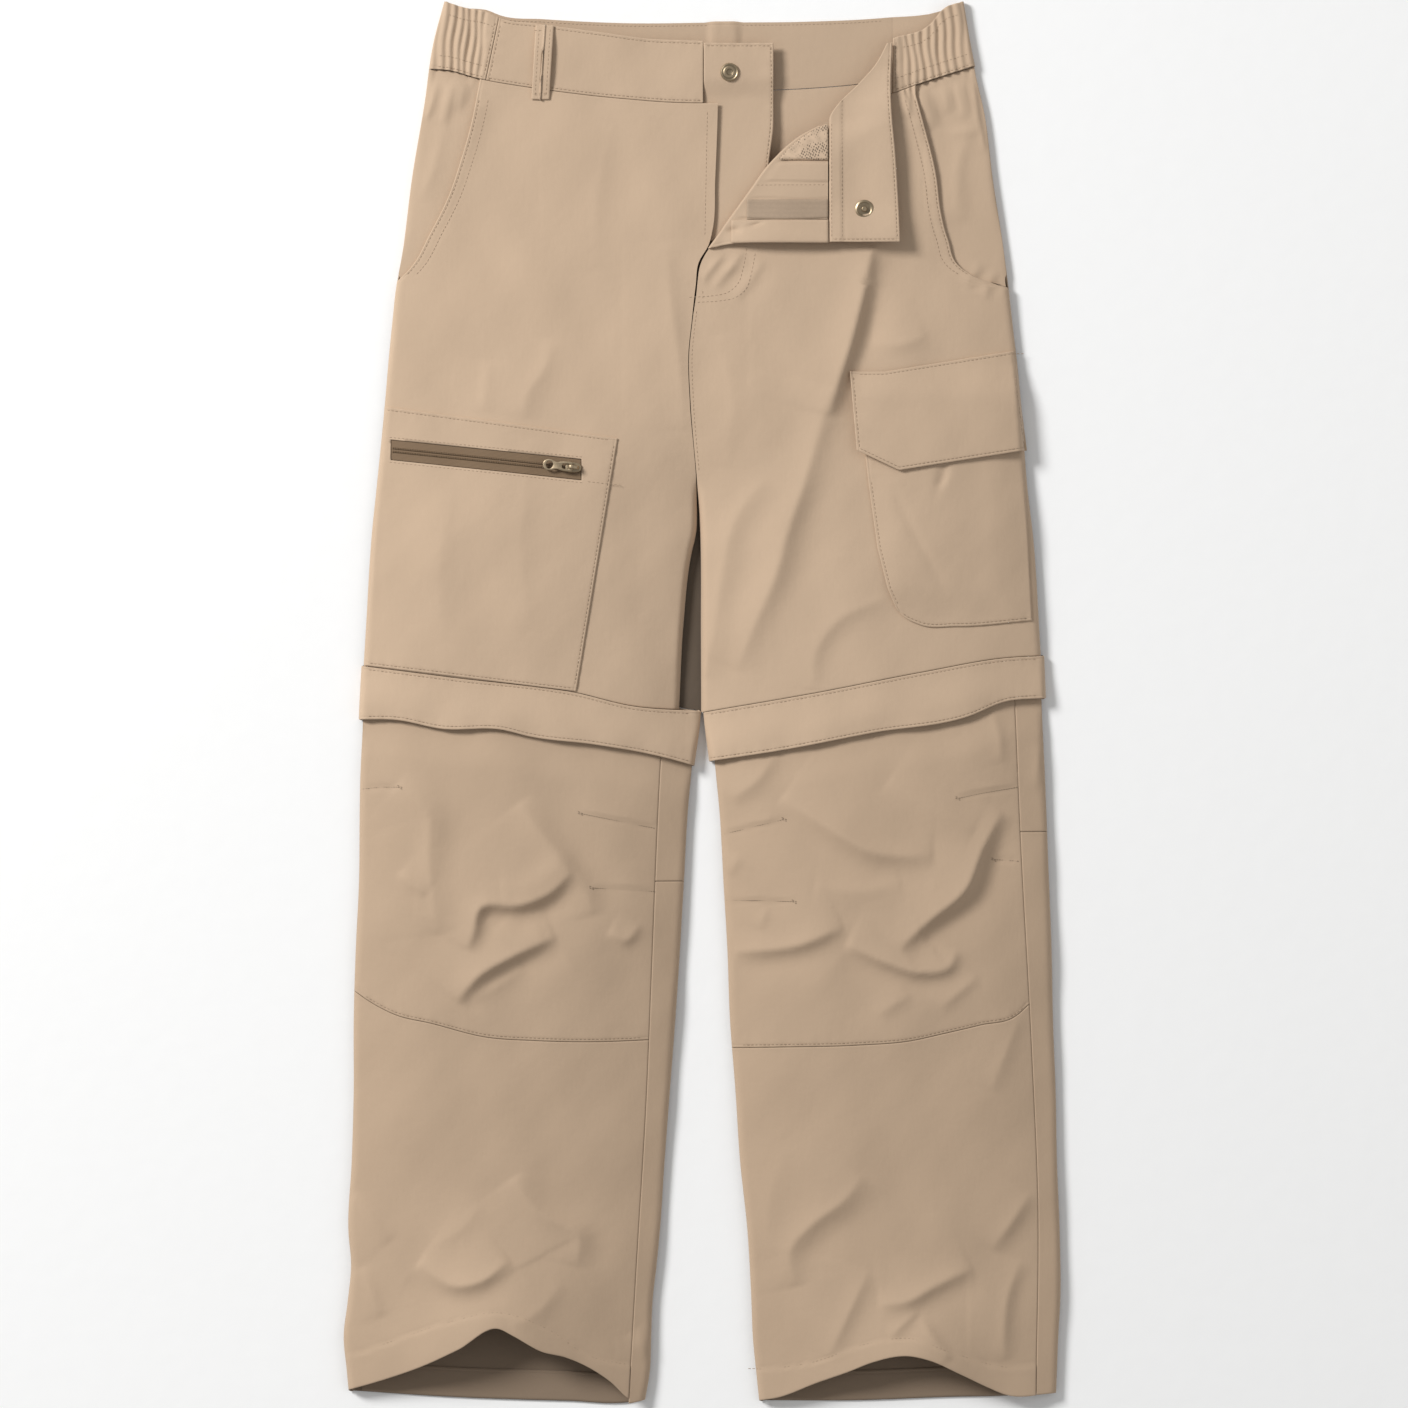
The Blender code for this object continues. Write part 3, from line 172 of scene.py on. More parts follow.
# Edges and seams that run across: across, down
BACK_TOP = [
    (-0.193, 0.0000), (-0.179, 0.0045), (-0.162, 0.0060), (-0.150, 0.0105), (-0.119, 0.0130),
    (-0.058, 0.0160), (0.014, 0.0155), (0.075, 0.0150), (0.137, 0.0120), (0.179, 0.0070),
    (0.196, 0.0000)]
FRONT_TOP = [
    (-0.193, 0.0000), (-0.179, 0.0045), (-0.162, 0.0080), (-0.151, 0.0130), (-0.124, 0.0170),
    (-0.080, 0.0230), (-0.043, 0.0280), (-0.001, 0.0300), (0.053, 0.0330), (0.1455, 0.0270),
    (0.173, 0.0150), (0.179, 0.0075), (0.196, 0.0000)]
BAND_SEAM = [
    (-0.202, 0.0510), (-0.190, 0.0520), (-0.168, 0.0580), (-0.128, 0.0650), (-0.058, 0.0735),
    (-0.015, 0.0765), (0.012, 0.0765), (0.111, 0.0700), (0.143, 0.0690), (0.160, 0.0630),
    (0.203, 0.0490)]
BACK_BAND_SEAM = [
    (-0.204, 0.0505), (-0.100, 0.0625), (0.000, 0.0668), (0.100, 0.0635), (0.2045, 0.0490)]
BACK_FLAP_SEAM_RIGHT = [(-0.2545, 0.4980), (0.000, 0.5320)]
BACK_FLAP_SEAM_LEFT = [(0.000, 0.5330), (0.2555, 0.4905)]
FLAP_SEAM_RIGHT = [
    (-0.255, 0.4980), (-0.185, 0.5070), (-0.095, 0.5180), (-0.053, 0.5280), (0.000, 0.5320)]
FLAP_EDGE_RIGHT = [
    (-0.257, 0.5380), (-0.228, 0.5385), (-0.195, 0.5450), (-0.148, 0.5460), (-0.130, 0.5505),
    (-0.079, 0.5570), (-0.030, 0.5660), (-0.001, 0.5740)]
FLAP_SEAM_LEFT = [
    (0.000, 0.5330), (0.087, 0.5180), (0.164, 0.5030), (0.229, 0.4920), (0.256, 0.4905)]
FLAP_EDGE_LEFT = [
    (0.001, 0.5700), (0.060, 0.5610), (0.128, 0.5480), (0.200, 0.5355), (0.226, 0.5250),
    (0.258, 0.5220)]
KNEE_SEAM_RIGHT = [
    (-0.261, 0.7410), (-0.249, 0.7490), (-0.229, 0.7590), (-0.203, 0.7650), (-0.161, 0.7755),
    (-0.125, 0.7780), (-0.083, 0.7790), (-0.020, 0.7770)]
KNEE_SEAM_LEFT = [
    (0.021, 0.7840), (0.062, 0.7830), (0.115, 0.7815), (0.157, 0.7780), (0.180, 0.7730),
    (0.208, 0.7665), (0.236, 0.7590), (0.2445, 0.7515)]
HEM_FRONT_RIGHT = [
    (-0.265, 1.0400), (-0.248, 1.0350), (-0.209, 1.0210), (-0.182, 1.0080), (-0.151, 0.9920),
    (-0.141, 0.9970), (-0.119, 1.0095), (-0.102, 1.0140), (-0.068, 1.0335), (-0.054, 1.0465),
    (-0.042, 1.0475)]
HEM_FRONT_LEFT = [
    (0.043, 1.0480), (0.055, 1.0460), (0.086, 1.0340), (0.110, 1.0250), (0.127, 1.0180),
    (0.155, 1.0130), (0.169, 1.0160), (0.193, 1.0270), (0.213, 1.0370), (0.227, 1.0430),
    (0.265, 1.0425)]
HEM_BACK_RIGHT = [
    (-0.265, 1.0410), (-0.188, 1.0460), (-0.100, 1.0490), (-0.055, 1.0500), (-0.042, 1.0475)]
HEM_BACK_LEFT = [
    (0.043, 1.0485), (0.117, 1.0485), (0.186, 1.0460), (0.230, 1.0450), (0.265, 1.0425)]

# Edges and seams that run down: down, across
ELASTIC_START_RIGHT = [(0.010, -0.1515), (0.060, -0.1620)]
ELASTIC_START_LEFT = [(0.020, 0.1430), (0.070, 0.1425)]
POCKET_EDGE_RIGHT = [
    (0.060, -0.1665), (0.093, -0.1730), (0.121, -0.1810), (0.147, -0.1900), (0.173, -0.2030),
    (0.204, -0.2220), (0.210, -0.2286)]
POCKET_EDGE_LEFT = [
    (0.070, 0.1600), (0.132, 0.1755), (0.159, 0.1790), (0.178, 0.1840), (0.203, 0.1980),
    (0.2085, 0.2080), (0.214, 0.2296)]
FOLD_LINE = [
    (0.027, 0.1430), (0.049, 0.1305), (0.063, 0.1170), (0.070, 0.1110), (0.078, 0.1010),
    (0.090, 0.0930), (0.101, 0.0735), (0.121, 0.0510), (0.1425, 0.0350), (0.172, 0.0140),
    (0.196, -0.0015), (0.213, -0.0037)]
STRIP_SEAM = [
    (0.030, 0.1395), (0.049, 0.1290), (0.063, 0.1165), (0.078, 0.1015), (0.088, 0.0954),
    (0.093, 0.0951), (0.100, 0.0950), (0.120, 0.0950), (0.183, 0.0950)]
STRIP_EDGE = [(0.030, 0.1425), (0.069, 0.1410), (0.121, 0.1448), (0.160, 0.1470), (0.182, 0.1478)]
INSEAM_RIGHT = [
    (0.500, -0.0270), (0.600, -0.0325), (0.715, -0.0372), (0.830, -0.0420), (0.930, -0.0480),
    (1.050, -0.0550)]
OUTSEAM_LEFT = [
    (0.480, 0.2325), (0.630, 0.2385), (0.790, 0.2470), (0.900, 0.2515), (1.043, 0.2500)]

# Lifted mouths of the hems: across, down, half width, reach up the leg, height
HEM_ARCHES = [
    (-0.151, 0.995, 0.062, 0.110, 0.0200),
    (0.155, 1.015, 0.052, 0.080, 0.0130)]

# Folds: route (across, down), then height of the crest, its reach on the side of the light, how
# far its shaded side runs out, and height and width of a plain ridge, all in mm. The shaded side
# lies to the left of the way a route runs, so routes run down or towards the viewer's left.
FOLDS = [
    (((131, 184), (122, 229), (113, 263), (105, 287), (98, 312)), 7.9, 26, 6.4, 0.0, 6),
    (((103, 292), (94, 324), (83, 361), (70, 399), (60, 435), (45, 470), (31, 503)), 5.9, 30, 11.7,
     0.0, 6),
    (((52, 361), (32, 388), (20, 435), (13, 483), (7, 508)), 3.5, 22, 11.7, 0.5, 9),
    (((141, 452), (103, 470), (91, 487), (88, 516)), 2.9, 16, 10.1, 0.0, 6),
    (((-106, 257), (-113, 280), (-124, 296), (-127, 313)), 2.6, 16, 11.7, 0.0, 6),
    (((-154, 271), (-158, 308)), 1.5, 12, 10.1, 0.0, 6),
    (((-20, 182), (-17, 223), (-10, 280), (-8, 321)), 2.6, 16, 11.7, 0.0, 6),
    (((-120, 330), (-128, 400), (-124, 470)), 1.3, 22, 13, 0.0, 6),
    (((-180, 370), (-190, 430), (-186, 480)), 1.1, 20, 13, 0.0, 6),
    (((-60, 95), (-72, 150), (-70, 200)), 1.3, 20, 13, 0.0, 6),
    (((20, 250), (30, 300), (24, 350)), 1.5, 20, 13, 0.0, 6),
    (((170, 255), (150, 262), (128, 262)), 2.2, 14, 8.6, 0.0, 6),
    (((205, 95), (196, 130), (199, 165)), 2.6, 12, 8.6, 0.0, 6),
    (((206, 102), (196, 101), (186, 102)), 1.8, 7, 5.5, 0.0, 6),
    (((-188, 90), (-196, 125), (-206, 150)), 2.0, 9, 8.6, 0.0, 6),
    (((-132, 598), (-108, 631), (-90, 653), (-82, 664), (-76, 682)), 4.4, 20, 10.1, 0.8, 9),
    (((-95, 654), (-113, 671), (-137, 680), (-163, 681), (-168, 700), (-173, 711)), 7.5, 17, 6.1,
     0.0, 6),
    (((-108, 703), (-144, 720), (-163, 731), (-181, 751)), 7.5, 18, 6.4, 0.0, 6),
    (((-224, 582), (-199, 606), (-198, 642), (-191, 697)), 3.7, 22, 11.7, 0.8, 10),
    (((-208, 671), (-218, 664), (-228, 655)), 2.6, 9, 5.5, 0.0, 6),
    (((-44, 694), (-56, 706), (-71, 700)), 3.3, 10, 5.8, 0.0, 6),
    (((-150, 690), (-135, 702), (-118, 698)), 0.0, 10, 4, 1.3, 8),
    (((-130, 728), (-150, 741), (-168, 752)), 2.6, 14, 8.6, 0.0, 6),
    (((-98, 640), (-128, 662), (-150, 664)), 0.0, 10, 4, 1.6, 10),
    (((60, 566), (44, 587), (24, 602)), 3.3, 16, 8.6, 0.0, 6),
    (((172, 645), (125, 641), (93, 623), (58, 600)), 5.7, 20, 8.6, 0.9, 10),
    (((227, 609), (213, 636), (200, 667), (172, 691), (149, 712)), 8.4, 22, 7, 0.0, 6),
    (((107, 696), (74, 710), (24, 716)), 5.9, 18, 7, 0.0, 6),
    (((193, 712), (188, 724), (164, 730), (136, 722), (107, 709)), 6.2, 14, 5.8, 0.0, 6),
    (((220, 531), (226, 550), (227, 571)), 2.4, 10, 7, 0.0, 6),
    (((255, 558), (253, 591)), 1.8, 7, 5.5, 0.0, 6),
    (((200, 627), (167, 610), (136, 589)), 2.4, 20, 13, 0.6, 10),
    (((31, 641), (24, 656)), 2.0, 8, 7, 0.0, 6),
    (((52, 680), (46, 696)), 2.0, 8, 7, 0.0, 6),
    (((208, 733), (194, 745), (180, 757)), 2.4, 11, 7, 0.0, 6),
    (((157, 746), (145, 754), (133, 762)), 2.0, 11, 7, 0.0, 6),
    (((150, 665), (118, 672), (84, 668)), 2.0, 14, 10.1, 0.6, 9),
    (((-137, 878), (-120, 901), (-86, 923), (-89, 947)), 4.2, 22, 10.1, 0.6, 10),
    (((-141, 944), (-165, 961), (-185, 964), (-214, 947)), 5.7, 18, 7, 0.6, 9),
    (((-258, 892), (-230, 925)), 2.4, 13, 8.6, 0.0, 6),
    (((-249, 947), (-236, 983)), 2.6, 12, 8.6, 0.0, 6),
    (((-100, 962), (-120, 985), (-140, 995)), 2.2, 14, 10.1, 0.0, 6),
    (((-160, 905), (-178, 925), (-196, 936)), 1.8, 16, 11.7, 0.0, 6),
    (((-45, 995), (-39, 1014)), 2.6, 8, 6.2, 0.0, 6),
    (((124, 882), (111, 900), (86, 919), (71, 937), (75, 960)), 4.8, 22, 10.1, 0.7, 10),
    (((204, 951), (171, 967), (157, 975), (133, 979)), 4.8, 18, 7, 0.6, 9),
    (((128, 953), (107, 998), (98, 1017)), 3.3, 14, 8.6, 0.0, 6),
    (((242, 762), (231, 790), (220, 817)), 2.2, 14, 8.6, 0.0, 6),
    (((249, 895), (235, 917), (220, 937)), 4.0, 16, 8.6, 0.0, 6),
    (((242, 944), (232, 974), (230, 998), (230, 1017)), 3.7, 13, 7.8, 0.0, 6),
    (((165, 983), (175, 998), (188, 1013)), 2.9, 10, 5.5, 0.0, 6),
    (((163, 983), (152, 992), (142, 1001)), 2.9, 10, 5.5, 0.0, 6),
    (((70, 860), (56, 905), (60, 940)), 1.5, 20, 13, 0.0, 6),
    (((-226, 589), (-240, 589), (-254, 590)), 0.0, 6, 3, -0.9, 1.5),
    (((-35, 619), (-62, 614), (-91, 608)), 1.1, 8, 3.9, -0.9, 1.4),
    (((-35, 667), (-58, 665), (-82, 664)), 0.9, 8, 3.9, -0.8, 1.4),
    (((62, 613), (40, 618), (16, 624)), 1.1, 8, 3.9, -0.9, 1.4),
    (((69, 674), (44, 674), (18, 674)), 0.9, 8, 3.9, -0.8, 1.4),
    (((236, 589), (214, 592), (191, 597)), 0.9, 8, 3.9, -0.9, 1.4),
    (((237, 644), (228, 643), (218, 643)), 0.0, 8, 2, -0.8, 1.4),
    (((183, 347), (181, 356), (177, 365)), 0.0, 8, 3, -1.4, 2.4),
    (((141, 362), (160, 402), (184, 445)), 0.0, 8, 3, -0.7, 4.0),
    (((152, 66), (156, 77), (157, 87)), 2.2, 6, 3.2, 0.0, 6),
    (((167, 65), (172, 80), (178, 92)), 3.0, 7, 3.6, 0.0, 6),
    (((182, 63), (186, 73), (188, 83)), 2.6, 6, 3.2, 0.0, 6),
    (((194, 60), (198, 74), (200, 87)), 2.8, 6, 3.4, 0.0, 6),
    (((205, 60), (208, 84), (214, 112)), 2.2, 6, 3.4, 0.0, 6),
    (((-196, 60), (-200, 76), (-205, 90)), 2.2, 6, 3.4, 0.0, 6),
    (((-185, 62), (-188, 78), (-192, 93)), 2.8, 6, 3.4, 0.0, 6),
    (((-176, 62), (-178, 72), (-181, 82)), 2.4, 6, 3.2, 0.0, 6),
    (((212, 198), (204, 208), (200, 216)), 1.8, 8, 3.6, 0.0, 6),
    (((222, 204), (216, 214), (214, 224)), 1.8, 8, 3.6, 0.0, 6),
    (((32, 190), (20, 206), (10, 217)), 2.4, 9, 4.0, 0.0, 6),
    (((18, 192), (8, 203), (2, 212)), 2.4, 8, 3.6, 0.0, 6),
    (((48, 196), (36, 214), (26, 226)), 1.6, 9, 4.0, 0.0, 6),
    (((36, 200), (22, 205), (8, 209)), 1.5, 9, 7, 0.0, 6),
]

# Share of the shaded side between crest and route, depth of the trough behind it, and how far a
# fold is let down so that the cloth keeps its middle height
CREST_SHIFT = 0.55
TROUGH = 0.30
FOLD_LEVEL = 0.30

# Slow unevenness of laid cloth: wave lengths across and down, phase, height in mm
WAVES = [
    (0.085, 0.310, 0.3, 0.34), (0.062, -0.220, 1.7, 0.22), (0.190, 0.085, 2.9, 0.30),
    (-0.043, 0.130, 4.0, 0.13), (0.120, -0.061, 5.1, 0.17), (0.033, 0.047, 0.9, 0.06)]

# Gathers of the elastic waist: across at the middle of the band, half width and depth in mm
GATHERS_RIGHT = [
    (-198.0, 2.2, 1.3), (-191.5, 1.7, 1.6), (-185.5, 1.8, 2.1), (-180.0, 1.5, 1.7),
    (-175.0, 1.8, 2.3), (-169.5, 1.5, 1.9), (-164.8, 1.4, 1.2)]
GATHERS_LEFT = [
    (150.0, 1.4, 1.1), (155.0, 1.6, 1.7), (160.5, 1.5, 1.5), (166.0, 1.9, 2.1), (172.0, 1.6, 1.6),
    (177.5, 1.8, 2.2), (184.0, 1.7, 1.7), (190.5, 2.0, 1.6), (197.0, 2.0, 1.2)]
GATHER_LEAN = 0.09

# Rows of stitches and edges that only the looks need: across, down
HEM_STITCH_RIGHT = [
    (-0.262, 1.0140), (-0.235, 1.0040), (-0.187, 0.9870), (-0.152, 0.9800), (-0.116, 0.9920),
    (-0.087, 1.0120), (-0.050, 1.0220)]
HEM_STITCH_LEFT = [
    (0.050, 1.0245), (0.085, 1.0180), (0.120, 1.0050), (0.155, 1.0000), (0.190, 1.0120),
    (0.229, 1.0225), (0.262, 1.0193)]
FLY_STITCH = [
    (0.0398, 0.189), (0.0368, 0.205), (0.0330, 0.216), (0.0248, 0.2228), (0.0142, 0.2250),
    (-0.0040, 0.2262)]
KNEE_DARTS = [
    ("right", [(-0.2542, 0.5902), (-0.2400, 0.5888), (-0.2258, 0.5888)]),
    ("right", [(-0.0352, 0.6195), (-0.0615, 0.6142), (-0.0908, 0.6082)]),
    ("right", [(-0.0352, 0.6668), (-0.0578, 0.6652), (-0.0825, 0.6638)]),
    ("left", [(0.0165, 0.6240), (0.0398, 0.6180), (0.0615, 0.6128)]),
    ("left", [(0.0180, 0.6735), (0.0435, 0.6735), (0.0690, 0.6742)]),
    ("left", [(0.2362, 0.5888), (0.2138, 0.5925), (0.1912, 0.5970)]),
    ("left", [(0.2370, 0.6442), (0.2280, 0.6435), (0.2182, 0.6428)])]
CORNER_LOW = [
    (-0.0040, 0.2065), (-0.0030, 0.2018), (0.0030, 0.1888), (0.0120, 0.1846), (0.0200, 0.1830),
    (0.0300, 0.1823), (0.0950, 0.1825)]
CORNER_GROOVES = ((0.1205, 0.0016, 0.0010), (0.1365, 0.0005, 0.0007), (0.1490, 0.0006, 0.0007),
                  (0.1643, 0.0010, 0.0009))

# Overlay outlines, counterclockwise from above: across, down
THIGH_POCKET = [(-0.2525, 0.4975), (-0.0940, 0.5170), (-0.0630, 0.3280), (-0.2380, 0.3040)]
ZIP_WINDOW = [(-0.2330, 0.3440), (-0.0900, 0.3595), (-0.0900, 0.3435), (-0.2330, 0.3285)]
CARGO_BODY = [
    (0.1175, 0.3000), (0.1310, 0.4100), (0.1480, 0.4580), (0.1620, 0.4680), (0.2470, 0.4650),
    (0.2405, 0.3360), (0.2350, 0.2900)]
CARGO_FLAP = [
    (0.1105, 0.2780), (0.1155, 0.3370), (0.1470, 0.3520), (0.2435, 0.3365), (0.2340, 0.2620),
    (0.1365, 0.2780)]

# Metal pieces in their own frames: slider body, its bridge from the side, the pull from above
SLIDER_SIZE = (0.0120, 0.0078, 0.0022)
SLIDER_FORWARD = 0.0015
BRIDGE_OUTLINE = [
    (-0.0026, 0.0012), (0.0058, 0.0012), (0.0058, 0.0040), (0.0046, 0.0062), (0.0020, 0.0073),
    (-0.0008, 0.0071), (-0.0024, 0.0058)]
BRIDGE_HOLE = [(-0.0014, 0.0026), (0.0022, 0.0026), (0.0022, 0.0056), (-0.0014, 0.0056)]
BRIDGE_WIDTH = 0.0026
PULL_HALVES = [
    (-0.0215, 0.0012), (-0.0205, 0.0030), (-0.0180, 0.0042), (-0.0150, 0.0042),
    (-0.0125, 0.0030), (-0.0105, 0.0026), (-0.0070, 0.0036), (-0.0020, 0.0038),
    (0.0003, 0.0036), (0.0009, 0.0026)]
PULL_SLOT = [(-0.0070, 0.0020), (-0.0009, 0.0020), (-0.0009, -0.0020), (-0.0070, -0.0020)]
PULL_HOLE = (-0.0165, 0.0, 0.0026, 0.0029)
PULL_WALL = 0.0012
PULL_HEIGHT = 0.0041

# Snap profiles: radius, height
SOCKET_PROFILE = [
    (0.0, 0.0009), (0.0020, 0.0009), (0.0026, 0.0017), (0.0042, 0.0017), (0.0050, 0.0011),
    (0.0060, 0.0016), (SNAP_RADIUS, 0.0009), (SNAP_RADIUS, 0.0), (0.0, 0.0)]
STUD_PROFILE = [
    (0.0, 0.0034), (0.0016, 0.0034), (0.0021, 0.0026), (0.0018, 0.0012), (0.0046, 0.0010),
    (0.0056, 0.0016), (SNAP_RADIUS, 0.0009), (SNAP_RADIUS, 0.0), (0.0, 0.0)]

ZIP_AT = (-0.0975, 0.3495)
ZIP_SLOPE = math.radians(-5.9)
PULL_DROOP = math.radians(-6.5)
SOCKET_AT = (0.0207, 0.0536)
STUD_AT = (0.1213, 0.1568)

# Camera straight above, and soft lights
CAMERA_LENS = 170.0
CAMERA_SENSOR = 36.0
VIEW_WIDTH = 1.056
VIEW_CENTRE = (0.0015, -0.0015)
KEY_AT = (-3.50, 2.40, 3.10)
FILL_AT = (2.2, 0.0, 2.4)


def looks():
    return bpy.context.scene.trouser_looks


def along(table, at):
    """Smooth curve through a table's rows, straight beyond its ends."""
    rows = np.array(table, dtype=float)
    keys = rows[:, 0]
    values = rows[:, 1]
    slopes = np.gradient(values, keys)
    at = np.asarray(at, dtype=float)
    held = np.clip(at, keys[0], keys[-1])
    cell = np.clip(np.searchsorted(keys, held, side="right") - 1, 0, len(keys) - 2)
    width = keys[cell + 1] - keys[cell]
    t = (held - keys[cell]) / width
    start = (1 + 2 * t) * (1 - t) ** 2 * values[cell] + t * (1 - t) ** 2 * width * slopes[cell]
    finish = t * t * (3 - 2 * t) * values[cell + 1] - t * t * (1 - t) * width * slopes[cell + 1]
    return start + finish


def straight(table, at):
    """Straight lines between a table's rows."""
    rows = np.array(table, dtype=float)
    return np.interp(at, rows[:, 0], rows[:, 1])


def ease(low, high, at):
    """Soft step from 0 at low to 1 at high."""
    t = np.clip((np.asarray(at, dtype=float) - low) / (high - low), 0.0, 1.0)
    return t * t * (3 - 2 * t)


def bell(distance, width):
    return np.exp(-(distance / width) ** 2)


def left_of(table, down):
    return along([(row[0], row[1]) for row in table], down)


def right_of(table, down):
    return along([(row[0], row[2]) for row in table], down)


def dome(across, left, right):
    spread = np.clip((across - left) / (right - left), 0.0, 1.0)
    return 1 - np.abs(2 * spread - 1) ** 2.6


def smooth_route(route):
    """A fold's route in metres, rounded through its points."""
    points = np.array(route) / 1000
    steps = np.diff(points, axis=0)
    length = np.concatenate([[0.0], np.cumsum(np.hypot(steps[:, 0], steps[:, 1]))])
    at = np.linspace(0.0, length[-1], 4 * (len(points) - 1) + 1)
    across = along(list(zip(length, points[:, 0])), at)
    down = along(list(zip(length, points[:, 1])), at)
    return np.stack([across, down], axis=1)


def crest_shape(side, reach, soft):
    """A long rise on the side of the light, a crest, then a short drop into a shallow trough."""
    side = side + CREST_SHIFT * soft
    rise = np.exp(-np.abs(side / reach) ** 1.2)
    drop = (1 + TROUGH) * np.exp(-np.abs(side / soft) ** 1.4) - TROUGH * bell(side, reach)
    return np.where(side < 0, rise, drop) - FOLD_LEVEL * bell(side, reach)


def fold_height(across, down):
    """Height of every crease at a place on the cloth."""
    across, down = np.broadcast_arrays(np.asarray(across, float), np.asarray(down, float))
    total = np.zeros(across.shape)
    for route, crest, reach, soft, ridge, width in FOLDS:
        line = smooth_route(route)
        margin = 2.4 * max(reach, width) / 1000
        near = ((across > line[:, 0].min() - margin) & (across < line[:, 0].max() + margin)
                & (down > line[:, 1].min() - margin) & (down < line[:, 1].max() + margin))
        if not near.any():
            continue
        x = across[near]
        d = down[near]
        nearest = np.full(x.shape, 1.0)
        side = np.zeros(x.shape)
        place = np.zeros(x.shape)
        for index in range(len(line) - 1):
            off_x = x - line[index, 0]
            off_d = d - line[index, 1]
            step_x, step_d = line[index + 1] - line[index]
            size = math.hypot(step_x, step_d)
            t = np.clip((off_x * step_x + off_d * step_d) / size ** 2, 0.0, 1.0)
            gap = np.hypot(off_x - t * step_x, off_d - t * step_d)
            closer = gap < nearest
            nearest = np.where(closer, gap, nearest)
            side = np.where(closer, np.sign(step_d * off_x - step_x * off_d), side)
            place = np.where(closer, (index + t) / (len(line) - 1), place)
        nearest = nearest * 1000
        fade = np.sqrt(np.clip(np.sin(math.pi * place), 0.0, 1.0))
        total[near] += fade * (crest * crest_shape(side * nearest, reach, soft)
                               + ridge * bell(nearest, width)) / 1000
    return total * looks().fold_strength


def wave_height(across, down):
    bent = across + 0.012 * np.sin(down / 0.061)
    total = 0 * (bent + down)
    for wave_x, wave_d, phase, height in WAVES:
        total = total + height / 1000 * np.sin(math.tau * (bent / wave_x + down / wave_d) + phase)
    return total


def gather_height(across, down):
    """Deep gathers in the elastic stretches of the waistband, and their ends on the cloth below."""
    total = 0 * (across + down)
    for table, side in ((GATHERS_RIGHT, -1), (GATHERS_LEFT, 1)):
        band_end = along(BAND_SEAM, across)
        inside = ease(band_end + 0.016, band_end - 0.004, down)
        for centre, half, depth in table:
            away = across - centre / 1000 - side * GATHER_LEAN * (down - 0.035)
            sway = 0.0007 * np.sin(down / 0.0065 + centre)
            total = total - depth / 1000 * bell(away + sway, half / 1000) * inside
    return total


def arch_height(across, down):
    total = np.zeros(np.broadcast(across, down).shape)
    for centre, low, half, reach, height in HEM_ARCHES:
        total += height * bell(across - centre, half) * ease(low - reach, low + 0.02, down)
    return total


def front_top(table, across, down):
    """Height of the front's outer face over the surface, before its edges roll down."""
    whole = dome(across, left_of(THIGH_RIGHT, down), right_of(THIGH_LEFT, down))
    legs = dome(across, left_of(table, down), right_of(table, down))
    split = ease(0.290, 0.400, down)
    loft = along(CROWN, down) * (whole * (1 - split) + legs * split)
    fine = fold_height(across, down) + wave_height(across, down) + gather_height(across, down)
    return np.maximum(EDGE_TOP + loft + fine + arch_height(across, down), LOWEST_TOP)


def roll(distance):
    """Quarter turn of a rolled edge: 0 at the edge, 1 from ROLL inwards."""
    inside = np.clip(distance / ROLL, 0.0, 1.0)
    return np.sqrt(np.clip(1 - (1 - inside) ** 2, 0.0, 1.0))


def front_z(tube, across, down, offset=0.0):
    table, centre = TUBES[tube]
    top = front_top(table, across, down) + offset
    left = roll(across - left_of(table, down))
    right = roll(right_of(table, down) - across)
    open_leg = ease(0.355, 0.385, down)
    left_rim = FRONT_RIM
    right_rim = FRONT_RIM
    if centre == "right":
        right = 1 - open_leg * (1 - right)
        right_rim = RIM_ON_BACK
    if centre == "left":
        left = 1 - open_leg * (1 - left)
        left_rim = RIM_ON_BACK
    return left_rim + (right_rim + (top - right_rim) * right - left_rim) * left


def back_z(tube, across, down, floor=0.0):
    table, centre = TUBES[tube]
    left = 1.0 if centre == "left" else roll(across - left_of(table, down))
    right = 1.0 if centre == "right" else roll(right_of(table, down) - across)
    rim = np.maximum(BACK_RIM, floor + 0.0008)
    return floor + (rim - floor) * (1 - left * right)


TUBES = {
    "thigh_right": (THIGH_RIGHT, "right"),
    "thigh_left": (THIGH_LEFT, "left"),
    "flap_right": (FLAP_RIGHT, None),
    "flap_left": (FLAP_LEFT, None),
    "shin_right": (SHIN_RIGHT, None),
    "shin_left": (SHIN_LEFT, None),
    "waist": ([(row[0], row[1], right_of(THIGH_LEFT, row[0])) for row in THIGH_RIGHT[:6]], None),
}


def curve(table):
    return lambda at: along(table, at)


def lines(table):
    return lambda at: straight(table, at)


def shifted(function, amount):
    return lambda at: function(at) + amount


def steady(amount):
    """The same place at every distance down or across."""
    return lambda at: 0 * at + amount


def edge_left(table, amount=0.0):
    return lambda down: left_of(table, down) + amount


def edge_right(table, amount=0.0):
    return lambda down: right_of(table, down) + amount


def on_front(tube, offset=0.0):
    if callable(offset):
        return lambda across, down: front_z(tube, across, down, offset(across, down))
    return lambda across, down: front_z(tube, across, down, offset)


def on_back(tube, floor=0.0):
    if callable(floor):
        return lambda across, down: back_z(tube, across, down, floor(across, down))
    return lambda across, down: back_z(tube, across, down, floor)


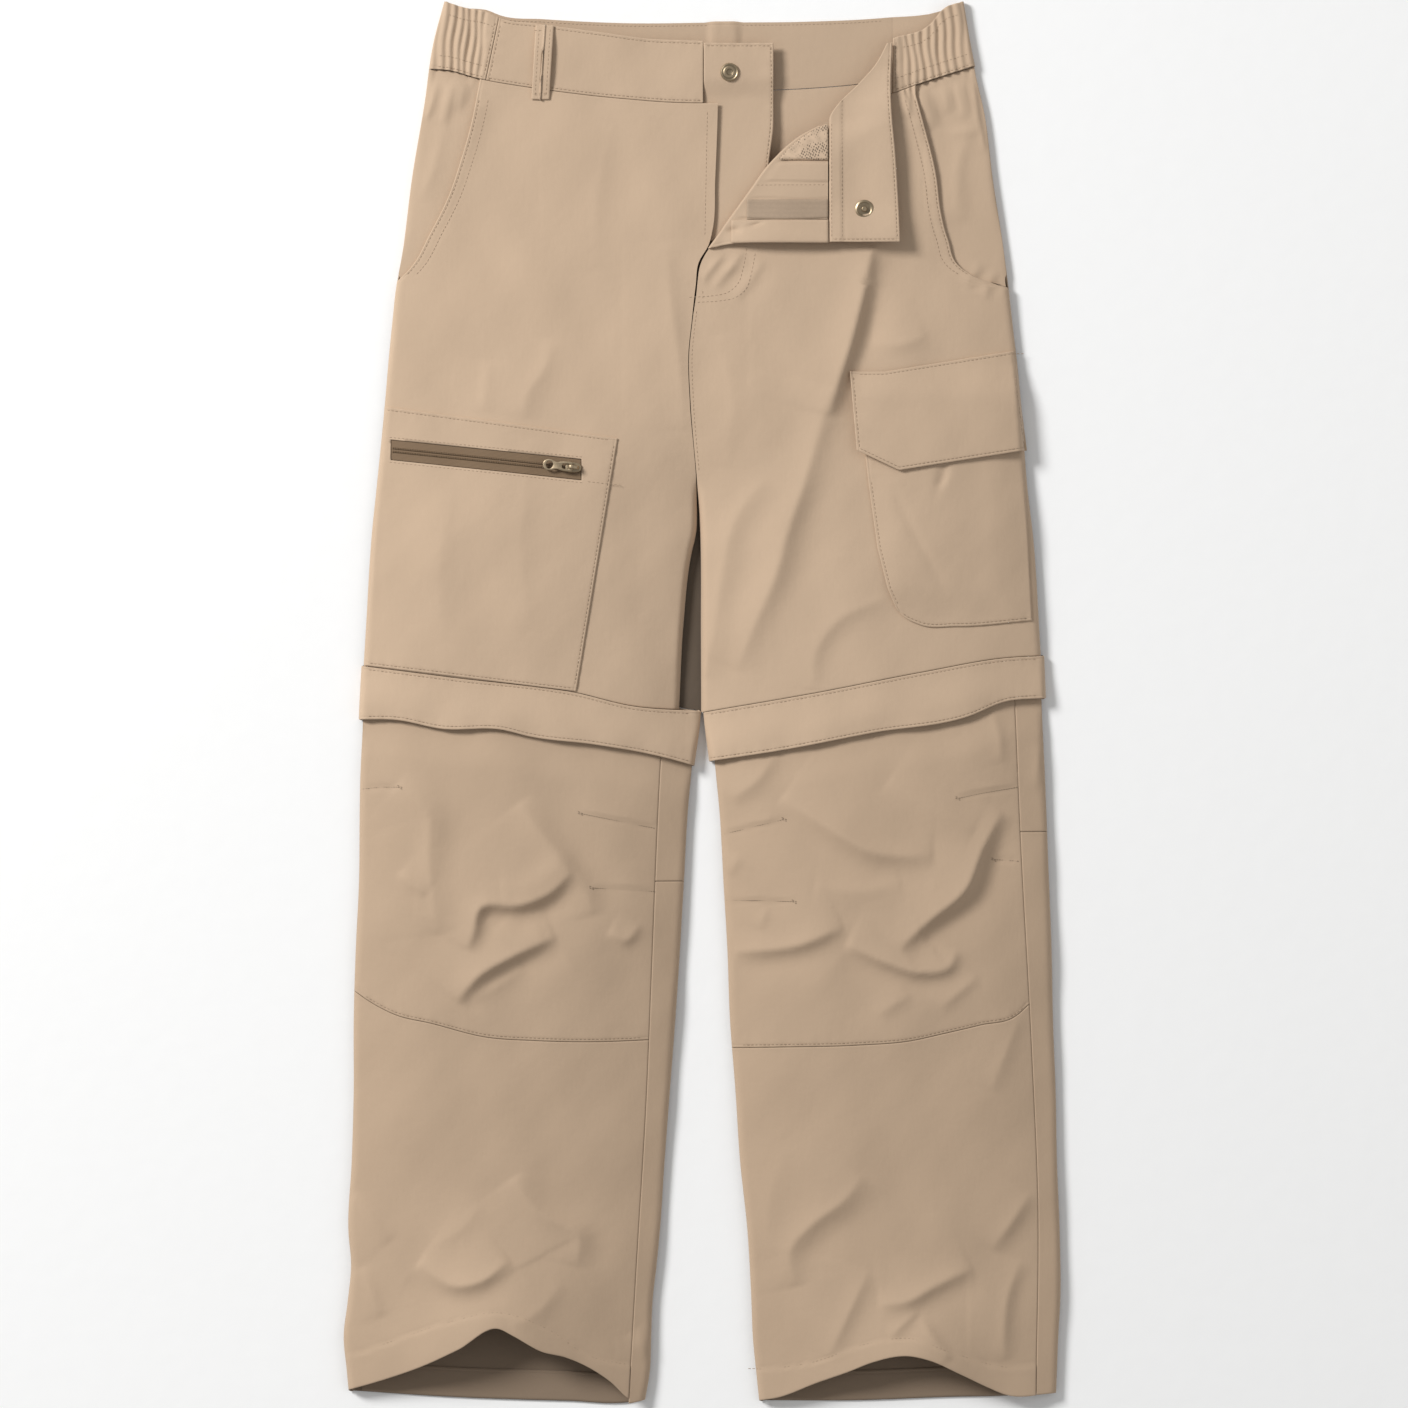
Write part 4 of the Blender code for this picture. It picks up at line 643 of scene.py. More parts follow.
def places(width, cell, first=True, last=True):
    """Places from 0 to 1 a cell apart, closer together at an edge that rolls or is sewn."""
    low = [step / width for step in EDGE_STEPS] if first else [0.0]
    high = [1 - step / width for step in reversed(EDGE_STEPS)] if last else [1.0]
    count = max(2, round((high[0] - low[-1]) * width / cell))
    return np.array(low + list(np.linspace(low[-1], high[0], count + 1)[1:-1]) + high)


def sewn_edge(distance, place, rows):
    """A rounded edge with a groove under each row of stitches, and puckers that fade inwards."""
    turned = 1 - np.clip(distance / EDGE_ROUND, 0.0, 1.0)
    total = -EDGE_DROP * turned ** 2
    for row in rows:
        total = total - GROOVE * bell(distance - row, GROOVE_WIDTH)
    if rows:
        wave = np.sin(place / 0.0017 + 2.3 * np.sin(place / 0.019))
        wave = wave * (0.55 + 0.45 * np.sin(place / 0.043 + 1.0))
        total = total + PUCKER * wave * bell(distance, PUCKER_REACH)
    return total


class Span:
    """A stretch of a sheet across: its height, its edges and how each of them is sewn.

    sewn_start and sewn_stop hold the distances of rows of stitches, or None where there is no edge;
    a function of down there tells where along the edge the sewing counts. Inner cloth shows the
    inside of the trousers and gets painted shade further down.
    """

    def __init__(self, height, start, stop, columns, sewn_start=None, sewn_stop=None,
                 low=None, high=None, where=None, inner=False):
        self.height = height
        self.start = start
        self.stop = stop
        self.columns = columns
        self.sewn = (sewn_start, sewn_stop)
        self.low = low
        self.high = high
        self.where = where or steady(1.0)
        self.inner = inner


def sheet_points(spans, low, high, levels, sewn_low=None, sewn_high=None):
    """Points of a sheet in rows from its lower edge up, with their distance from a sewn edge and
    how much painted shade they get where they show the inside of the trousers.
    """
    levels = levels[:, None]
    parts = []
    nearness = []
    for span in spans:
        below = span.low or low
        above = span.high or high
        columns = span.columns[None, :]
        down = np.full((len(levels), columns.shape[1]), 0.5 * float(below(0.0) + above(0.0)))
        for _ in range(16):
            across = span.start(down) + (span.stop(down) - span.start(down)) * columns
            down = 0.5 * down + 0.5 * (below(across) + (above(across) - below(across)) * levels)
        first = span.start(down)
        last = span.stop(down)
        across = first + (last - first) * columns
        z = span.height(across, down) + 0 * down
        near = np.full(z.shape, 1.0)
        # Painted shade of inner cloth: none above INNER_FROM, full below INNER_TO
        inner = float(span.inner) * ease(INNER_FROM, INNER_TO, down) + 0 * z
        where = span.where(down)
        for sewn, distance in zip(span.sewn, (np.abs(across - first), np.abs(last - across))):
            if sewn is not None:
                z = z + where * sewn_edge(distance, down, sewn)
                near = np.minimum(near, distance + (1 - where))
        for sewn, edge in ((sewn_low, below), (sewn_high, above)):
            if sewn is not None:
                slope = (edge(across + 0.001) - edge(across - 0.001)) / 0.002
                distance = np.abs(edge(across) - down) / np.sqrt(1 + slope ** 2)
                z = z + sewn_edge(distance, across, sewn)
                near = np.minimum(near, distance)
        parts.append(np.stack([across, LENGTH / 2 - down, np.maximum(z, 0.0)], axis=-1))
        nearness.append(np.stack([near, inner], axis=-1))
    return np.concatenate(parts, axis=1), np.concatenate(nearness, axis=1)


def sheet_mesh(name, points, near, closed=False):
    """A grid moved to the given points, with its nearness to sewn edges and its share of inner cloth as
    attributes, which the cloth shader turns into painted shade.
    """
    rows, columns = points.shape[:2]
    work = bmesh.new()
    bmesh.ops.create_grid(work, x_segments=columns - 1, y_segments=rows - 1, size=1.0)
    data = bpy.data.meshes.new(name)
    work.to_mesh(data)
    work.free()
    places_now = np.empty(len(data.vertices) * 3)
    data.vertices.foreach_get("co", places_now)
    places_now = places_now.reshape(-1, 3)
    column = np.rint((places_now[:, 0] + 1) / 2 * (columns - 1)).astype(int)
    row = np.rint((places_now[:, 1] + 1) / 2 * (rows - 1)).astype(int)
    data.vertices.foreach_set("co", points[row, column].ravel())
    # Nearness to a sewn edge, which the cloth shader darkens as painted shade along seams
    seam = data.attributes.new("seam", "FLOAT", "POINT")
    seam.data.foreach_set("value", bell(near[row, column, 0], 0.0032))
    # Share of inner cloth, which the cloth shader darkens as painted shade
    inside = data.attributes.new("inside", "FLOAT", "POINT")
    inside.data.foreach_set("value", near[row, column, 1])
    if closed:
        work = bmesh.new()
        work.from_mesh(data)
        bmesh.ops.remove_doubles(work, verts=work.verts[:], dist=1e-6)
        work.to_mesh(data)
        work.free()
    data.update()
    return data


def to_object(name, data, finish, smooth=True):
    if smooth:
        data.shade_smooth()
    item = bpy.data.objects.new(name, data)
    item.data.materials.append(finish)
    bpy.context.scene.collection.objects.link(item)
    return item


def cloth_piece(node, points, near, finish, wall=WALL, outward=False, closed=False,
                flipped=False):
    """A sheet of cloth that stands for a node of the frame."""
    data = sheet_mesh(node + "_cloth", points, near, closed)
    if flipped:
        data.flip_normals()
    item = to_object(node + "_cloth", data, finish)
    thick = item.modifiers.new("wall", "SOLIDIFY")
    thick.thickness = wall
    thick.offset = 1.0 if outward else -1.0
    declare(item, node)
    return item


def declare(item, node):
    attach(item, BODY)
    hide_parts(node)


def surface(height, across, down):
    """Points on a height function."""
    across, down = np.broadcast_arrays(np.asarray(across, float), np.asarray(down, float))
    return np.stack([across, LENGTH / 2 - down, height(across, down) + 0 * down], axis=-1)


def across_row(table, shift, start, stop, read=along):
    at = np.linspace(start, stop, 160)
    return at, read(table, at) + shift


def down_row(table, shift, start, stop, read=along):
    at = np.linspace(start, stop, 160)
    return read(table, at) + shift, at


def route_row(table):
    line = smooth_route(np.array(table) * 1000)
    return line[:, 0], line[:, 1]


def resampled(points, pitch):
    """Places and directions a pitch apart on a polyline."""
    steps = np.linalg.norm(np.diff(points, axis=0), axis=1)
    length = np.concatenate([[0.0], np.cumsum(steps)])
    count = max(1, int(length[-1] / pitch))
    middles = (np.arange(count) + 0.5) * length[-1] / count

    def at(where):
        return np.stack([np.interp(where, length, points[:, axis]) for axis in range(3)], axis=-1)
    return at, middles


def thread_piece(name, rows, finish, pitch=None, share=0.72, thickness=None):
    """Rows of stitches as one piece: each is a short thread that dips into the cloth at its ends."""
    pitch = pitch or looks().stitch_pitch
    radius = (thickness or looks().thread_thickness) / 2
    data = bpy.data.curves.new(name, "CURVE")
    data.dimensions = "3D"
    data.bevel_depth = 1.0
    data.bevel_resolution = 0
    data.use_fill_caps = True
    for height, (across, down) in rows:
        points = surface(height, across, down)
        at, middles = resampled(points, pitch)
        half = pitch * share / 2
        for middle in middles:
            spots = at(np.array([middle - half, middle - half * 0.5, middle + half * 0.5,
                                 middle + half]))
            spline = data.splines.new("POLY")
            spline.points.add(3)
            lifts = (-0.00018, 0.00006, 0.00006, -0.00018)
            sizes = (0.55, 1.0, 1.0, 0.55)
            for point, spot, lift, size in zip(spline.points, spots, lifts, sizes):
                point.co = (spot[0], spot[1], spot[2] + lift, 1.0)
                point.radius = radius * size
    return curve_piece(name, data, finish)


def curve_piece(name, data, finish):
    guide = bpy.data.objects.new(name + "_guide", data)
    bpy.context.scene.collection.objects.link(guide)
    bpy.context.view_layer.update()
    depsgraph = bpy.context.evaluated_depsgraph_get()
    shape = bpy.data.meshes.new_from_object(guide.evaluated_get(depsgraph))
    bpy.data.objects.remove(guide, do_unlink=True)
    shape.materials.clear()
    item = to_object(name, shape, finish)
    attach(item, BODY)
    return item


class Wire:
    """A socket of a shader that Python's arithmetic works on, by adding Math nodes."""

    def __init__(self, recipe, socket):
        self.recipe = recipe
        self.socket = socket

    def math(self, operation, first, second=None):
        values = {0: first} if second is None else {0: first, 1: second}
        return self.recipe.node("ShaderNodeMath", {"operation": operation}, values)["Value"]

    def __add__(self, other):
        return self.math("ADD", self, other)

    __radd__ = __add__

    def __sub__(self, other):
        return self.math("SUBTRACT", self, other)

    def __rsub__(self, other):
        return self.math("SUBTRACT", other, self)

    def __mul__(self, other):
        return self.math("MULTIPLY", self, other)

    __rmul__ = __mul__

    def __pow__(self, other):
        return self.math("POWER", self, other)


class Recipe:
    """Builds one material's nodes."""

    def __init__(self, name):
        self.material = bpy.data.materials.new(name)
        self.material.use_nodes = True
        self.tree = self.material.node_tree
        self.shader = self.tree.nodes["Principled BSDF"]
        self.object = self.node("ShaderNodeTexCoord")["Object"]

    def node(self, kind, settings=None, sockets=None):
        """A node with its settings, its sockets set or linked; gives its outputs by name."""
        made = self.tree.nodes.new(kind)
        for key, value in (settings or {}).items():
            if key == "stops":
                ramp = made.color_ramp
                while len(ramp.elements) < len(value):
                    ramp.elements.new(0.5)
                for element, (position, colour) in zip(ramp.elements, value):
                    element.position = position
                    element.color = (*colour, 1.0)
            else:
                setattr(made, key, value)
        self.connect(made, sockets or {})
        return {output.name: Wire(self, output) for output in made.outputs if output.enabled}

    def connect(self, node, sockets):
        for key, value in sockets.items():
            socket = node.inputs[key]
            if isinstance(value, Wire):
                self.tree.links.new(value.socket, socket)
            elif isinstance(value, (tuple, list)) and len(value) == 3 and socket.type == "RGBA":
                socket.default_value = (*value, 1.0)
            else:
                socket.default_value = value

    def set(self, **sockets):
        self.connect(self.shader, {key.replace("_", " "): value for key, value in sockets.items()})

    def mapped(self, scale, turn=0.0):
        return self.node("ShaderNodeMapping", None, {
            "Vector": self.object, "Scale": scale, "Rotation": (0.0, 0.0, turn)})["Vector"]

    def noise(self, scale, detail=2.0, vector=None):
        return self.node("ShaderNodeTexNoise", None, {
            "Vector": vector or self.object, "Scale": scale, "Detail": detail})["Fac"]

    def wave(self, vector, direction):
        return self.node("ShaderNodeTexWave", {"bands_direction": direction}, {
            "Vector": vector, "Scale": 1.0, "Distortion": 0.6, "Detail": 1.0})["Fac"]

    def mix(self, amount, first, second):
        """Mixes two colours."""
        made = self.tree.nodes.new("ShaderNodeMix")
        made.data_type = "RGBA"
        named = {"Factor": made.inputs[0], "A": made.inputs[6], "B": made.inputs[7]}
        for key, value in (("Factor", amount), ("A", first), ("B", second)):
            if isinstance(value, Wire):
                self.tree.links.new(value.socket, named[key])
            elif key == "Factor":
                named[key].default_value = value
            else:
                named[key].default_value = (*value, 1.0)
        return Wire(self, made.outputs[2])

    def bump(self, height, distance, strength=1.0, normal=None):
        sockets = {"Height": height, "Distance": distance, "Strength": strength}
        if normal:
            sockets["Normal"] = normal
        return self.node("ShaderNodeBump", None, sockets)["Normal"]


def shade(colour, factor):
    return tuple(channel * factor for channel in colour)


def cloth_finish(name, colour, turn=0.0, inner_shade=0.86):
    """Plain-woven nylon: threads both ways, slight slubs, soft mottling, painted shade along its seams
    and where the inside of the trousers shows.
    """
    recipe = Recipe(name)
    thread = math.tau / WAVE_TURNS / THREAD_WIDTH
    weave = recipe.mapped((thread, thread, thread), turn)
    warp = recipe.wave(weave, "X")
    weft = recipe.wave(weave, "Y")
    slubs = recipe.noise(1.0, 2.0, recipe.mapped((420.0, 90.0, 200.0), turn))
    mottle = recipe.noise(26.0, 3.0)
    cloud = recipe.noise(5.5, 2.0)
    grain = recipe.noise(900.0, 1.0)
    seam = recipe.node("ShaderNodeAttribute", {"attribute_name": "seam"})["Fac"]
    base = recipe.mix(mottle * 0.5 + cloud * 0.5, shade(colour, 0.93), shade(colour, 1.07))
    base = recipe.mix(grain * 0.10, base, shade(colour, 0.80))
    base = recipe.mix((warp * weft) * 0.16, base, shade(colour, 0.82))
    base = recipe.mix(slubs * 0.10, base, shade(colour, 1.16))
    # Painted shade: the cloth darkens within a few mm of its sewn edges
    base = recipe.mix(seam * 0.12, base, shade(colour, 0.78))
    # Painted shade: inner cloth darkens towards inner_shade times its colour
    inside = recipe.node("ShaderNodeAttribute", {"attribute_name": "inside"})["Fac"]
    base = recipe.mix(inside, base, shade(colour, inner_shade))
    height = (warp + weft) * 0.5 + slubs * 0.8
    fine = recipe.bump(height, WEAVE_DEPTH)
    soft = recipe.bump(recipe.noise(140.0, 3.0), 0.00035, 0.55, fine)
    recipe.set(Base_Color=base, Roughness=0.72 + mottle * 0.12, Normal=soft,
               Specular_IOR_Level=0.35, Sheen_Weight=0.18, Sheen_Roughness=0.45)
    return recipe.material


def net_finish(name, colour):
    """Knitted pocket net: rows of small holes painted dark as painted shade, between paler yarns
    flecked with painted highlights.
    """
    recipe = Recipe(name)
    cells = recipe.node("ShaderNodeTexVoronoi", {"feature": "F1"}, {
        "Vector": recipe.mapped((620.0, 470.0, 400.0), 0.5), "Scale": 1.0, "Randomness": 0.35})
    # The holes are painted dark as painted shade, and sunk a little by bump
    hole_depth_and_shade = recipe.node("ShaderNodeValToRGB", {
        "stops": ((0.18, (0.0, 0.0, 0.0)),
                  (0.42, (1.0, 1.0, 1.0)))}, {"Fac": cells["Distance"]})["Color"]
    # Painted highlights: flecks lighten the yarns up to 1.45 times their colour
    highlight_flecks = recipe.noise(170.0, 3.0)
    yarn_with_highlights = recipe.mix(highlight_flecks, shade(colour, 0.85), shade(colour, 1.45))
    recipe.set(Base_Color=recipe.mix(hole_depth_and_shade, shade(colour, 0.42), yarn_with_highlights), Roughness=0.8,
               Normal=recipe.bump(hole_depth_and_shade, 0.0004), Sheen_Weight=0.1)
    return recipe.material


def tape_finish(name, colour, turn):
    """Zip tape: close ribs along the zip and fine threads across it."""
    recipe = Recipe(name)
    fine = recipe.wave(recipe.mapped((470.0, 470.0, 470.0), turn), "X")
    rows = recipe.wave(recipe.mapped((330.0, 330.0, 330.0), turn), "Y")
    grain = recipe.noise(420.0, 2.0)
    base = recipe.mix(rows * 0.5 + grain * 0.3, shade(colour, 0.72), shade(colour, 1.22))
    recipe.set(Base_Color=base, Roughness=0.62 + grain * 0.2,
               Normal=recipe.bump(rows * 0.7 + fine * 0.3, 0.00016), Sheen_Weight=0.1)
    return recipe.material


def thread_finish(name, colour):
    """Sewing thread with its twist and a soft shine."""
    recipe = Recipe(name)
    twist = recipe.wave(recipe.mapped((900.0, 900.0, 900.0), 0.7), "DIAGONAL")
    base = recipe.mix(recipe.noise(300.0, 2.0), shade(colour, 0.88), shade(colour, 1.08))
    recipe.set(Base_Color=base, Roughness=0.48 + twist * 0.12, Normal=recipe.bump(twist, 0.00006))
    return recipe.material


def brass_finish(name, colour):
    """Antique brass: dark in its hollows, rubbed bright on its rims."""
    recipe = Recipe(name)
    worn = recipe.node("ShaderNodeValToRGB", {
        "stops": ((0.46, (0.0, 0.0, 0.0)), (0.56, (1.0, 1.0, 1.0)))}, {
            "Fac": recipe.node("ShaderNodeNewGeometry")["Pointiness"]})["Color"]
    tarnish = recipe.noise(520.0, 4.0)
    base = recipe.mix(tarnish, shade(colour, 0.62), colour)
    base = recipe.mix(worn, base, shade(colour, 1.5))
    recipe.set(Base_Color=base, Roughness=0.30 + tarnish * 0.22, Metallic=0.9,
               Normal=recipe.bump(recipe.noise(1500.0, 2.0), 0.00004))
    return recipe.material


def floor_finish(name, colour):
    recipe = Recipe(name)
    grain = recipe.noise(60.0, 3.0)
    recipe.set(Base_Color=recipe.mix(grain, shade(colour, 0.985), colour), Roughness=0.9,
               Normal=recipe.bump(grain, 0.0002))
    return recipe.material


FINISHES = {}


def finish(key):
    """The material of that name, made when it is first used."""
    made = FINISHES.get(key)
    if made is None:
        settings = looks()
        upper = tuple(settings.upper_colour)
        lower = tuple(settings.lower_colour)
        tape = tuple(settings.tape_colour)
        # The last number of a cloth_finish is inner_shade: the colour share of inner cloth under full
        # painted shade, 0.86 where not given
        makers = {
            "upper": lambda: cloth_finish("upper_cloth", upper),
            "upper_turned": lambda: cloth_finish("upper_cloth_pocket", shade(upper, 0.985), 0.11),
            "inside": lambda: cloth_finish("inside_cloth", shade(upper, 0.94), 0.0, 0.90),
            "thigh_inside_shaded": lambda: cloth_finish("thigh_inside_shaded_cloth", upper, 0.0, 0.20),
            # Painted shade: the upper backs darken to a fifth of their colour down the legs, for the
            # shade between the thighs
            "facing": lambda: cloth_finish("facing_cloth", shade(upper, 0.97), 0.8),
            "band": lambda: cloth_finish("waistband_cloth", shade(upper, 0.985), 0.05),
            # Painted shade: the backs of the lower legs darken to 0.45 of their colour, for the shade
            # in the hem mouths
            "lower": lambda: cloth_finish("lower_cloth", lower, 0.03, 0.45),
            # Painted shade: the turned hems darken to 0.52 of their colour inside the hem mouths
            "lower_inside_shaded": lambda: cloth_finish("lower_inside_shaded_cloth", lower, 0.03, 0.52),
            "net": lambda: net_finish("pocket_net", shade(upper, 0.86)),
            "tape": lambda: tape_finish("zip_tape", tape, math.radians(5.9)),
            "pale_tape": lambda: tape_finish("fly_zip_tape", shade(upper, 0.74), 0.0),
            "thread": lambda: thread_finish("thread", shade(upper, 0.80)),
            "lower_thread": lambda: thread_finish("lower_thread", shade(lower, 0.78)),
            # The dart thread is darker partly as thread colour and partly as painted shade of the
            # dart's crease
            "dart": lambda: thread_finish("dart_thread_and_shade", shade(lower, 0.55)),
            "tape_thread": lambda: thread_finish("coil", shade(tape, 0.85)),
            "brass": lambda: brass_finish("antique_brass", tuple(settings.brass_colour)),
            "floor": lambda: floor_finish("floor", tuple(settings.floor_colour)),
        }
        made = makers[key]()
        FINISHES[key] = made
    return made


def build_backs():
    for side, tube, flap_seam, sign in (
            ("right", "thigh_right", BACK_FLAP_SEAM_RIGHT, -1),
            ("left", "thigh_left", BACK_FLAP_SEAM_LEFT, 1)):
        table = TUBES[tube][0]
        middle = steady(sign * GAP / 2)
        columns = places(0.23, COARSE)
        if sign < 0:
            span = Span(on_back(tube), middle, edge_left(table), columns, inner=True)
        else:
            span = Span(on_back(tube), edge_right(table), middle, columns, inner=True)
        points, near = sheet_points([span], shifted(curve(flap_seam), -BACK_GAP),
                                    shifted(curve(BACK_BAND_SEAM), BACK_GAP / 2), places(0.44,
                                                                                         COARSE))
        # The backs carry deep painted shade between and under the thighs
        cloth_piece("back_" + side, points, near, finish("thigh_inside_shaded"))


def fold_width(down):
    """Room for the rolled edge of the fly corner, which dies out at the centre seam."""
    return FOLD_WIDTH * ease(0.213, 0.188, down)


def mouth_lift(table, down, across):
    """The edge of a pocket mouth stands slightly open in its upper half."""
    away = np.abs(across - along(table, down))
    return 0.0012 * bell(away, 0.010) * ease(0.066, 0.085, down) * ease(0.170, 0.120, down)


def build_fronts():
    right_edge = edge_right(THIGH_RIGHT, -GAP / 2)

    def right_start(down):
        pocket = along(POCKET_EDGE_RIGHT, down)
        return np.where(np.asarray(down) < 0.210, pocket, left_of(THIGH_RIGHT, down))

    def left_stop(down):
        pocket = along(POCKET_EDGE_LEFT, down)
        return np.where(np.asarray(down) < 0.214, pocket, right_of(THIGH_LEFT, down))

    def left_start(down):
        fold = along(FOLD_LINE, down) + 0.35 * fold_width(down)
        return np.where(np.asarray(down) < 0.213, fold, left_of(THIGH_LEFT, down)) + GAP / 2

    def right_lift(across, down):
        return mouth_lift(POCKET_EDGE_RIGHT, down, across)

    def left_lift(across, down):
        return mouth_lift(POCKET_EDGE_LEFT, down, across)

    mouth = (TOPSTITCH, SECOND_ROW)
    above_crotch = lambda down: ease(0.212, 0.206, down)
    columns = places(0.24, FINE)
    levels = places(0.43, FINE)
    right = Span(on_front("thigh_right", right_lift), right_start, right_edge, columns,
                 sewn_start=mouth, where=above_crotch)
    points, near = sheet_points([right], shifted(curve(FLAP_SEAM_RIGHT), -GAP),
                                shifted(curve(BAND_SEAM), GAP / 2), levels, (), ())
    cloth_piece("front_right", points, near, finish("upper"))
    left = Span(on_front("thigh_left", left_lift), left_start, left_stop, columns,
                sewn_stop=mouth, where=above_crotch)
    points, near = sheet_points([left], shifted(curve(FLAP_SEAM_LEFT), -GAP),
                                shifted(curve(BAND_SEAM), GAP / 2), levels, (), ())
    cloth_piece("front_left", points, near, finish("upper"))
    rows = []
    for tube, table, sign in (("thigh_right", POCKET_EDGE_RIGHT, 1),
                              ("thigh_left", POCKET_EDGE_LEFT, -1)):
        lift = right_lift if sign > 0 else left_lift
        for distance in mouth:
            rows.append((on_front(tube, lift), down_row(table, sign * distance * 1.15, 0.074,
                                                        0.205)))
    rows.append((on_front("thigh_left"), down_row(THIGH_LEFT, 0.0022, 0.232, 0.352)))
    for shift in (0.0, 0.0062):
        stitch = [(across - shift, down - shift * 0.6) for across, down in FLY_STITCH]
        rows.append((on_front("thigh_left"), route_row(stitch)))
    bar = [(0.0005, 0.2170), (0.0006, 0.2240)]
    rows.append((on_front("thigh_left"), route_row(bar)))
    rows.append((on_front("thigh_right"), down_row([(0.08, 0.0040), (0.18, 0.0020)], 0.0, 0.083,
                                                   0.176)))
    thread_piece("Front_stitching", rows, finish("thread"))


def build_side_facings():
    lowered = lambda across, down: -POCKET_TUCK + 0 * down
    top = shifted(curve(BAND_SEAM), GAP / 2)
    columns = places(0.035, FINE)
    levels = places(0.14, FINE)
    inset = lambda down: 0.0020 * ease(FACING_FROM, FACING_FROM + 0.0030, down)
    right = Span(on_front("thigh_right", lowered),
                 lambda down: left_of(THIGH_RIGHT, down) + inset(down),
                 lambda down: along(POCKET_EDGE_RIGHT,
                                    np.minimum(down, 0.200)) + FACING_UNDER, columns)
    points, near = sheet_points([right], steady(POCKET_FACING_BOTTOM), top, levels, None, ())
    cloth_piece("side_facing_right", points, near, finish("upper_turned"))
    left = Span(on_front("thigh_left", lowered),
                lambda down: along(POCKET_EDGE_LEFT, np.minimum(down, 0.200)) - FACING_UNDER,
                lambda down: right_of(THIGH_LEFT, down) - inset(down), columns)
    points, near = sheet_points([left], steady(POCKET_FACING_BOTTOM), top, levels, None, ())
    cloth_piece("side_facing_left", points, near, finish("upper_turned"))


def build_waistband():
    low_front = shifted(curve(BAND_SEAM), -GAP / 2)
    low_back = shifted(curve(BACK_BAND_SEAM), -BACK_GAP / 2)
    back_edges = {"low": low_back, "high": curve(BACK_TOP), "inner": True}
    waist = TUBES["waist"][0]
    levels = places(0.050, FINE)

    def loop_bump(across, down):
        away = np.abs(across - BACK_LOOP_MIDDLE)
        return BACK_LOOP_BUMP * ease(0.0125, 0.0085, away) + 0 * down

    middle = Span(on_back("waist", loop_bump), steady(BACK_BAND_RIGHT), steady(BACK_BAND_LEFT),
                  places(0.30, 0.0025), inner=True)
    points, near = sheet_points([middle], low_back, curve(BACK_TOP), levels, (), (TOPSTITCH,))
    cloth_piece("waistband_back", points, near, finish("inside"))

    start = curve(ELASTIC_START_RIGHT)
    edge = edge_left(waist)
    elastic = (1 - places(0.045, COARSE)[::-1])[:-1]
    spans = [Span(on_back("waist"), steady(BACK_BAND_LEFT - SEAM_GAP), edge, elastic, **back_edges),
             Span(on_front("waist"), edge, shifted(start, -GAP / 2), places(0.048, GATHER_CELL),
                  sewn_stop=(TOPSTITCH,))]
    points, near = sheet_points(spans, low_front, curve(FRONT_TOP), levels, (TOPSTITCH,), ())
    cloth_piece("waistband_elastic_right", points, near, finish("band"))

    start = curve(ELASTIC_START_LEFT)
    edge = edge_right(waist)
    spans = [Span(on_front("waist"), shifted(start, GAP / 2), edge,
                  places(0.058, GATHER_CELL)[:-1], sewn_start=(TOPSTITCH,)),
             Span(on_back("waist"), edge, steady(BACK_BAND_RIGHT + SEAM_GAP), places(0.045, COARSE),
                  **back_edges)]
    points, near = sheet_points(spans, low_front, curve(FRONT_TOP), levels, (TOPSTITCH,), ())
    cloth_piece("waistband_elastic_left", points, near, finish("band"))

    flat = Span(on_front("waist"), shifted(curve(ELASTIC_START_RIGHT), GAP / 2),
                steady(CENTRE_SEAM),
                places(0.155, FINE), (TOPSTITCH,), ())
    points, near = sheet_points([flat], low_front, curve(FRONT_TOP), levels, (TOPSTITCH,),
                                (TOPSTITCH,))
    cloth_piece("waistband_front_right", points, near, finish("band"))
    hidden = Span(on_front("waist"), shifted(curve(FOLD_LINE), GAP / 2),
                  shifted(curve(ELASTIC_START_LEFT), -GAP / 2), places(0.02, FINE))
    points, near = sheet_points([hidden], low_front, steady(0.0310), levels)
    cloth_piece("waistband_under_fold_left", points, near, finish("band"))
    height = on_front("waist")
    rows = [(height, across_row(BAND_SEAM, -0.0021, -0.198, -0.164)),
            (height, across_row(BAND_SEAM, -0.0105, -0.197, -0.164)),
            (height, across_row(BAND_SEAM, -0.0021, -0.160, -0.001)),
            (height, across_row(FRONT_TOP, 0.0021, -0.149, -0.001)),
            (height, across_row(BAND_SEAM, -0.0021, 0.145, 0.200)),
            (height, across_row(BAND_SEAM, -0.0105, 0.145, 0.199)),
            (height, across_row(FRONT_TOP, 0.0090, -0.190, -0.156)),
            (height, across_row(FRONT_TOP, 0.0090, 0.150, 0.192)),
            (height, down_row(ELASTIC_START_RIGHT, -0.0022, 0.016, 0.056)),
            (height, down_row(ELASTIC_START_RIGHT, 0.0022, 0.018, 0.060)),
            (height, down_row(ELASTIC_START_LEFT, 0.0022, 0.030, 0.066)),
            (on_back("waist", WALL), across_row(BACK_TOP, 0.0021, -0.145, 0.135))]
    thread_piece("Waistband_stitching", rows, finish("thread"))


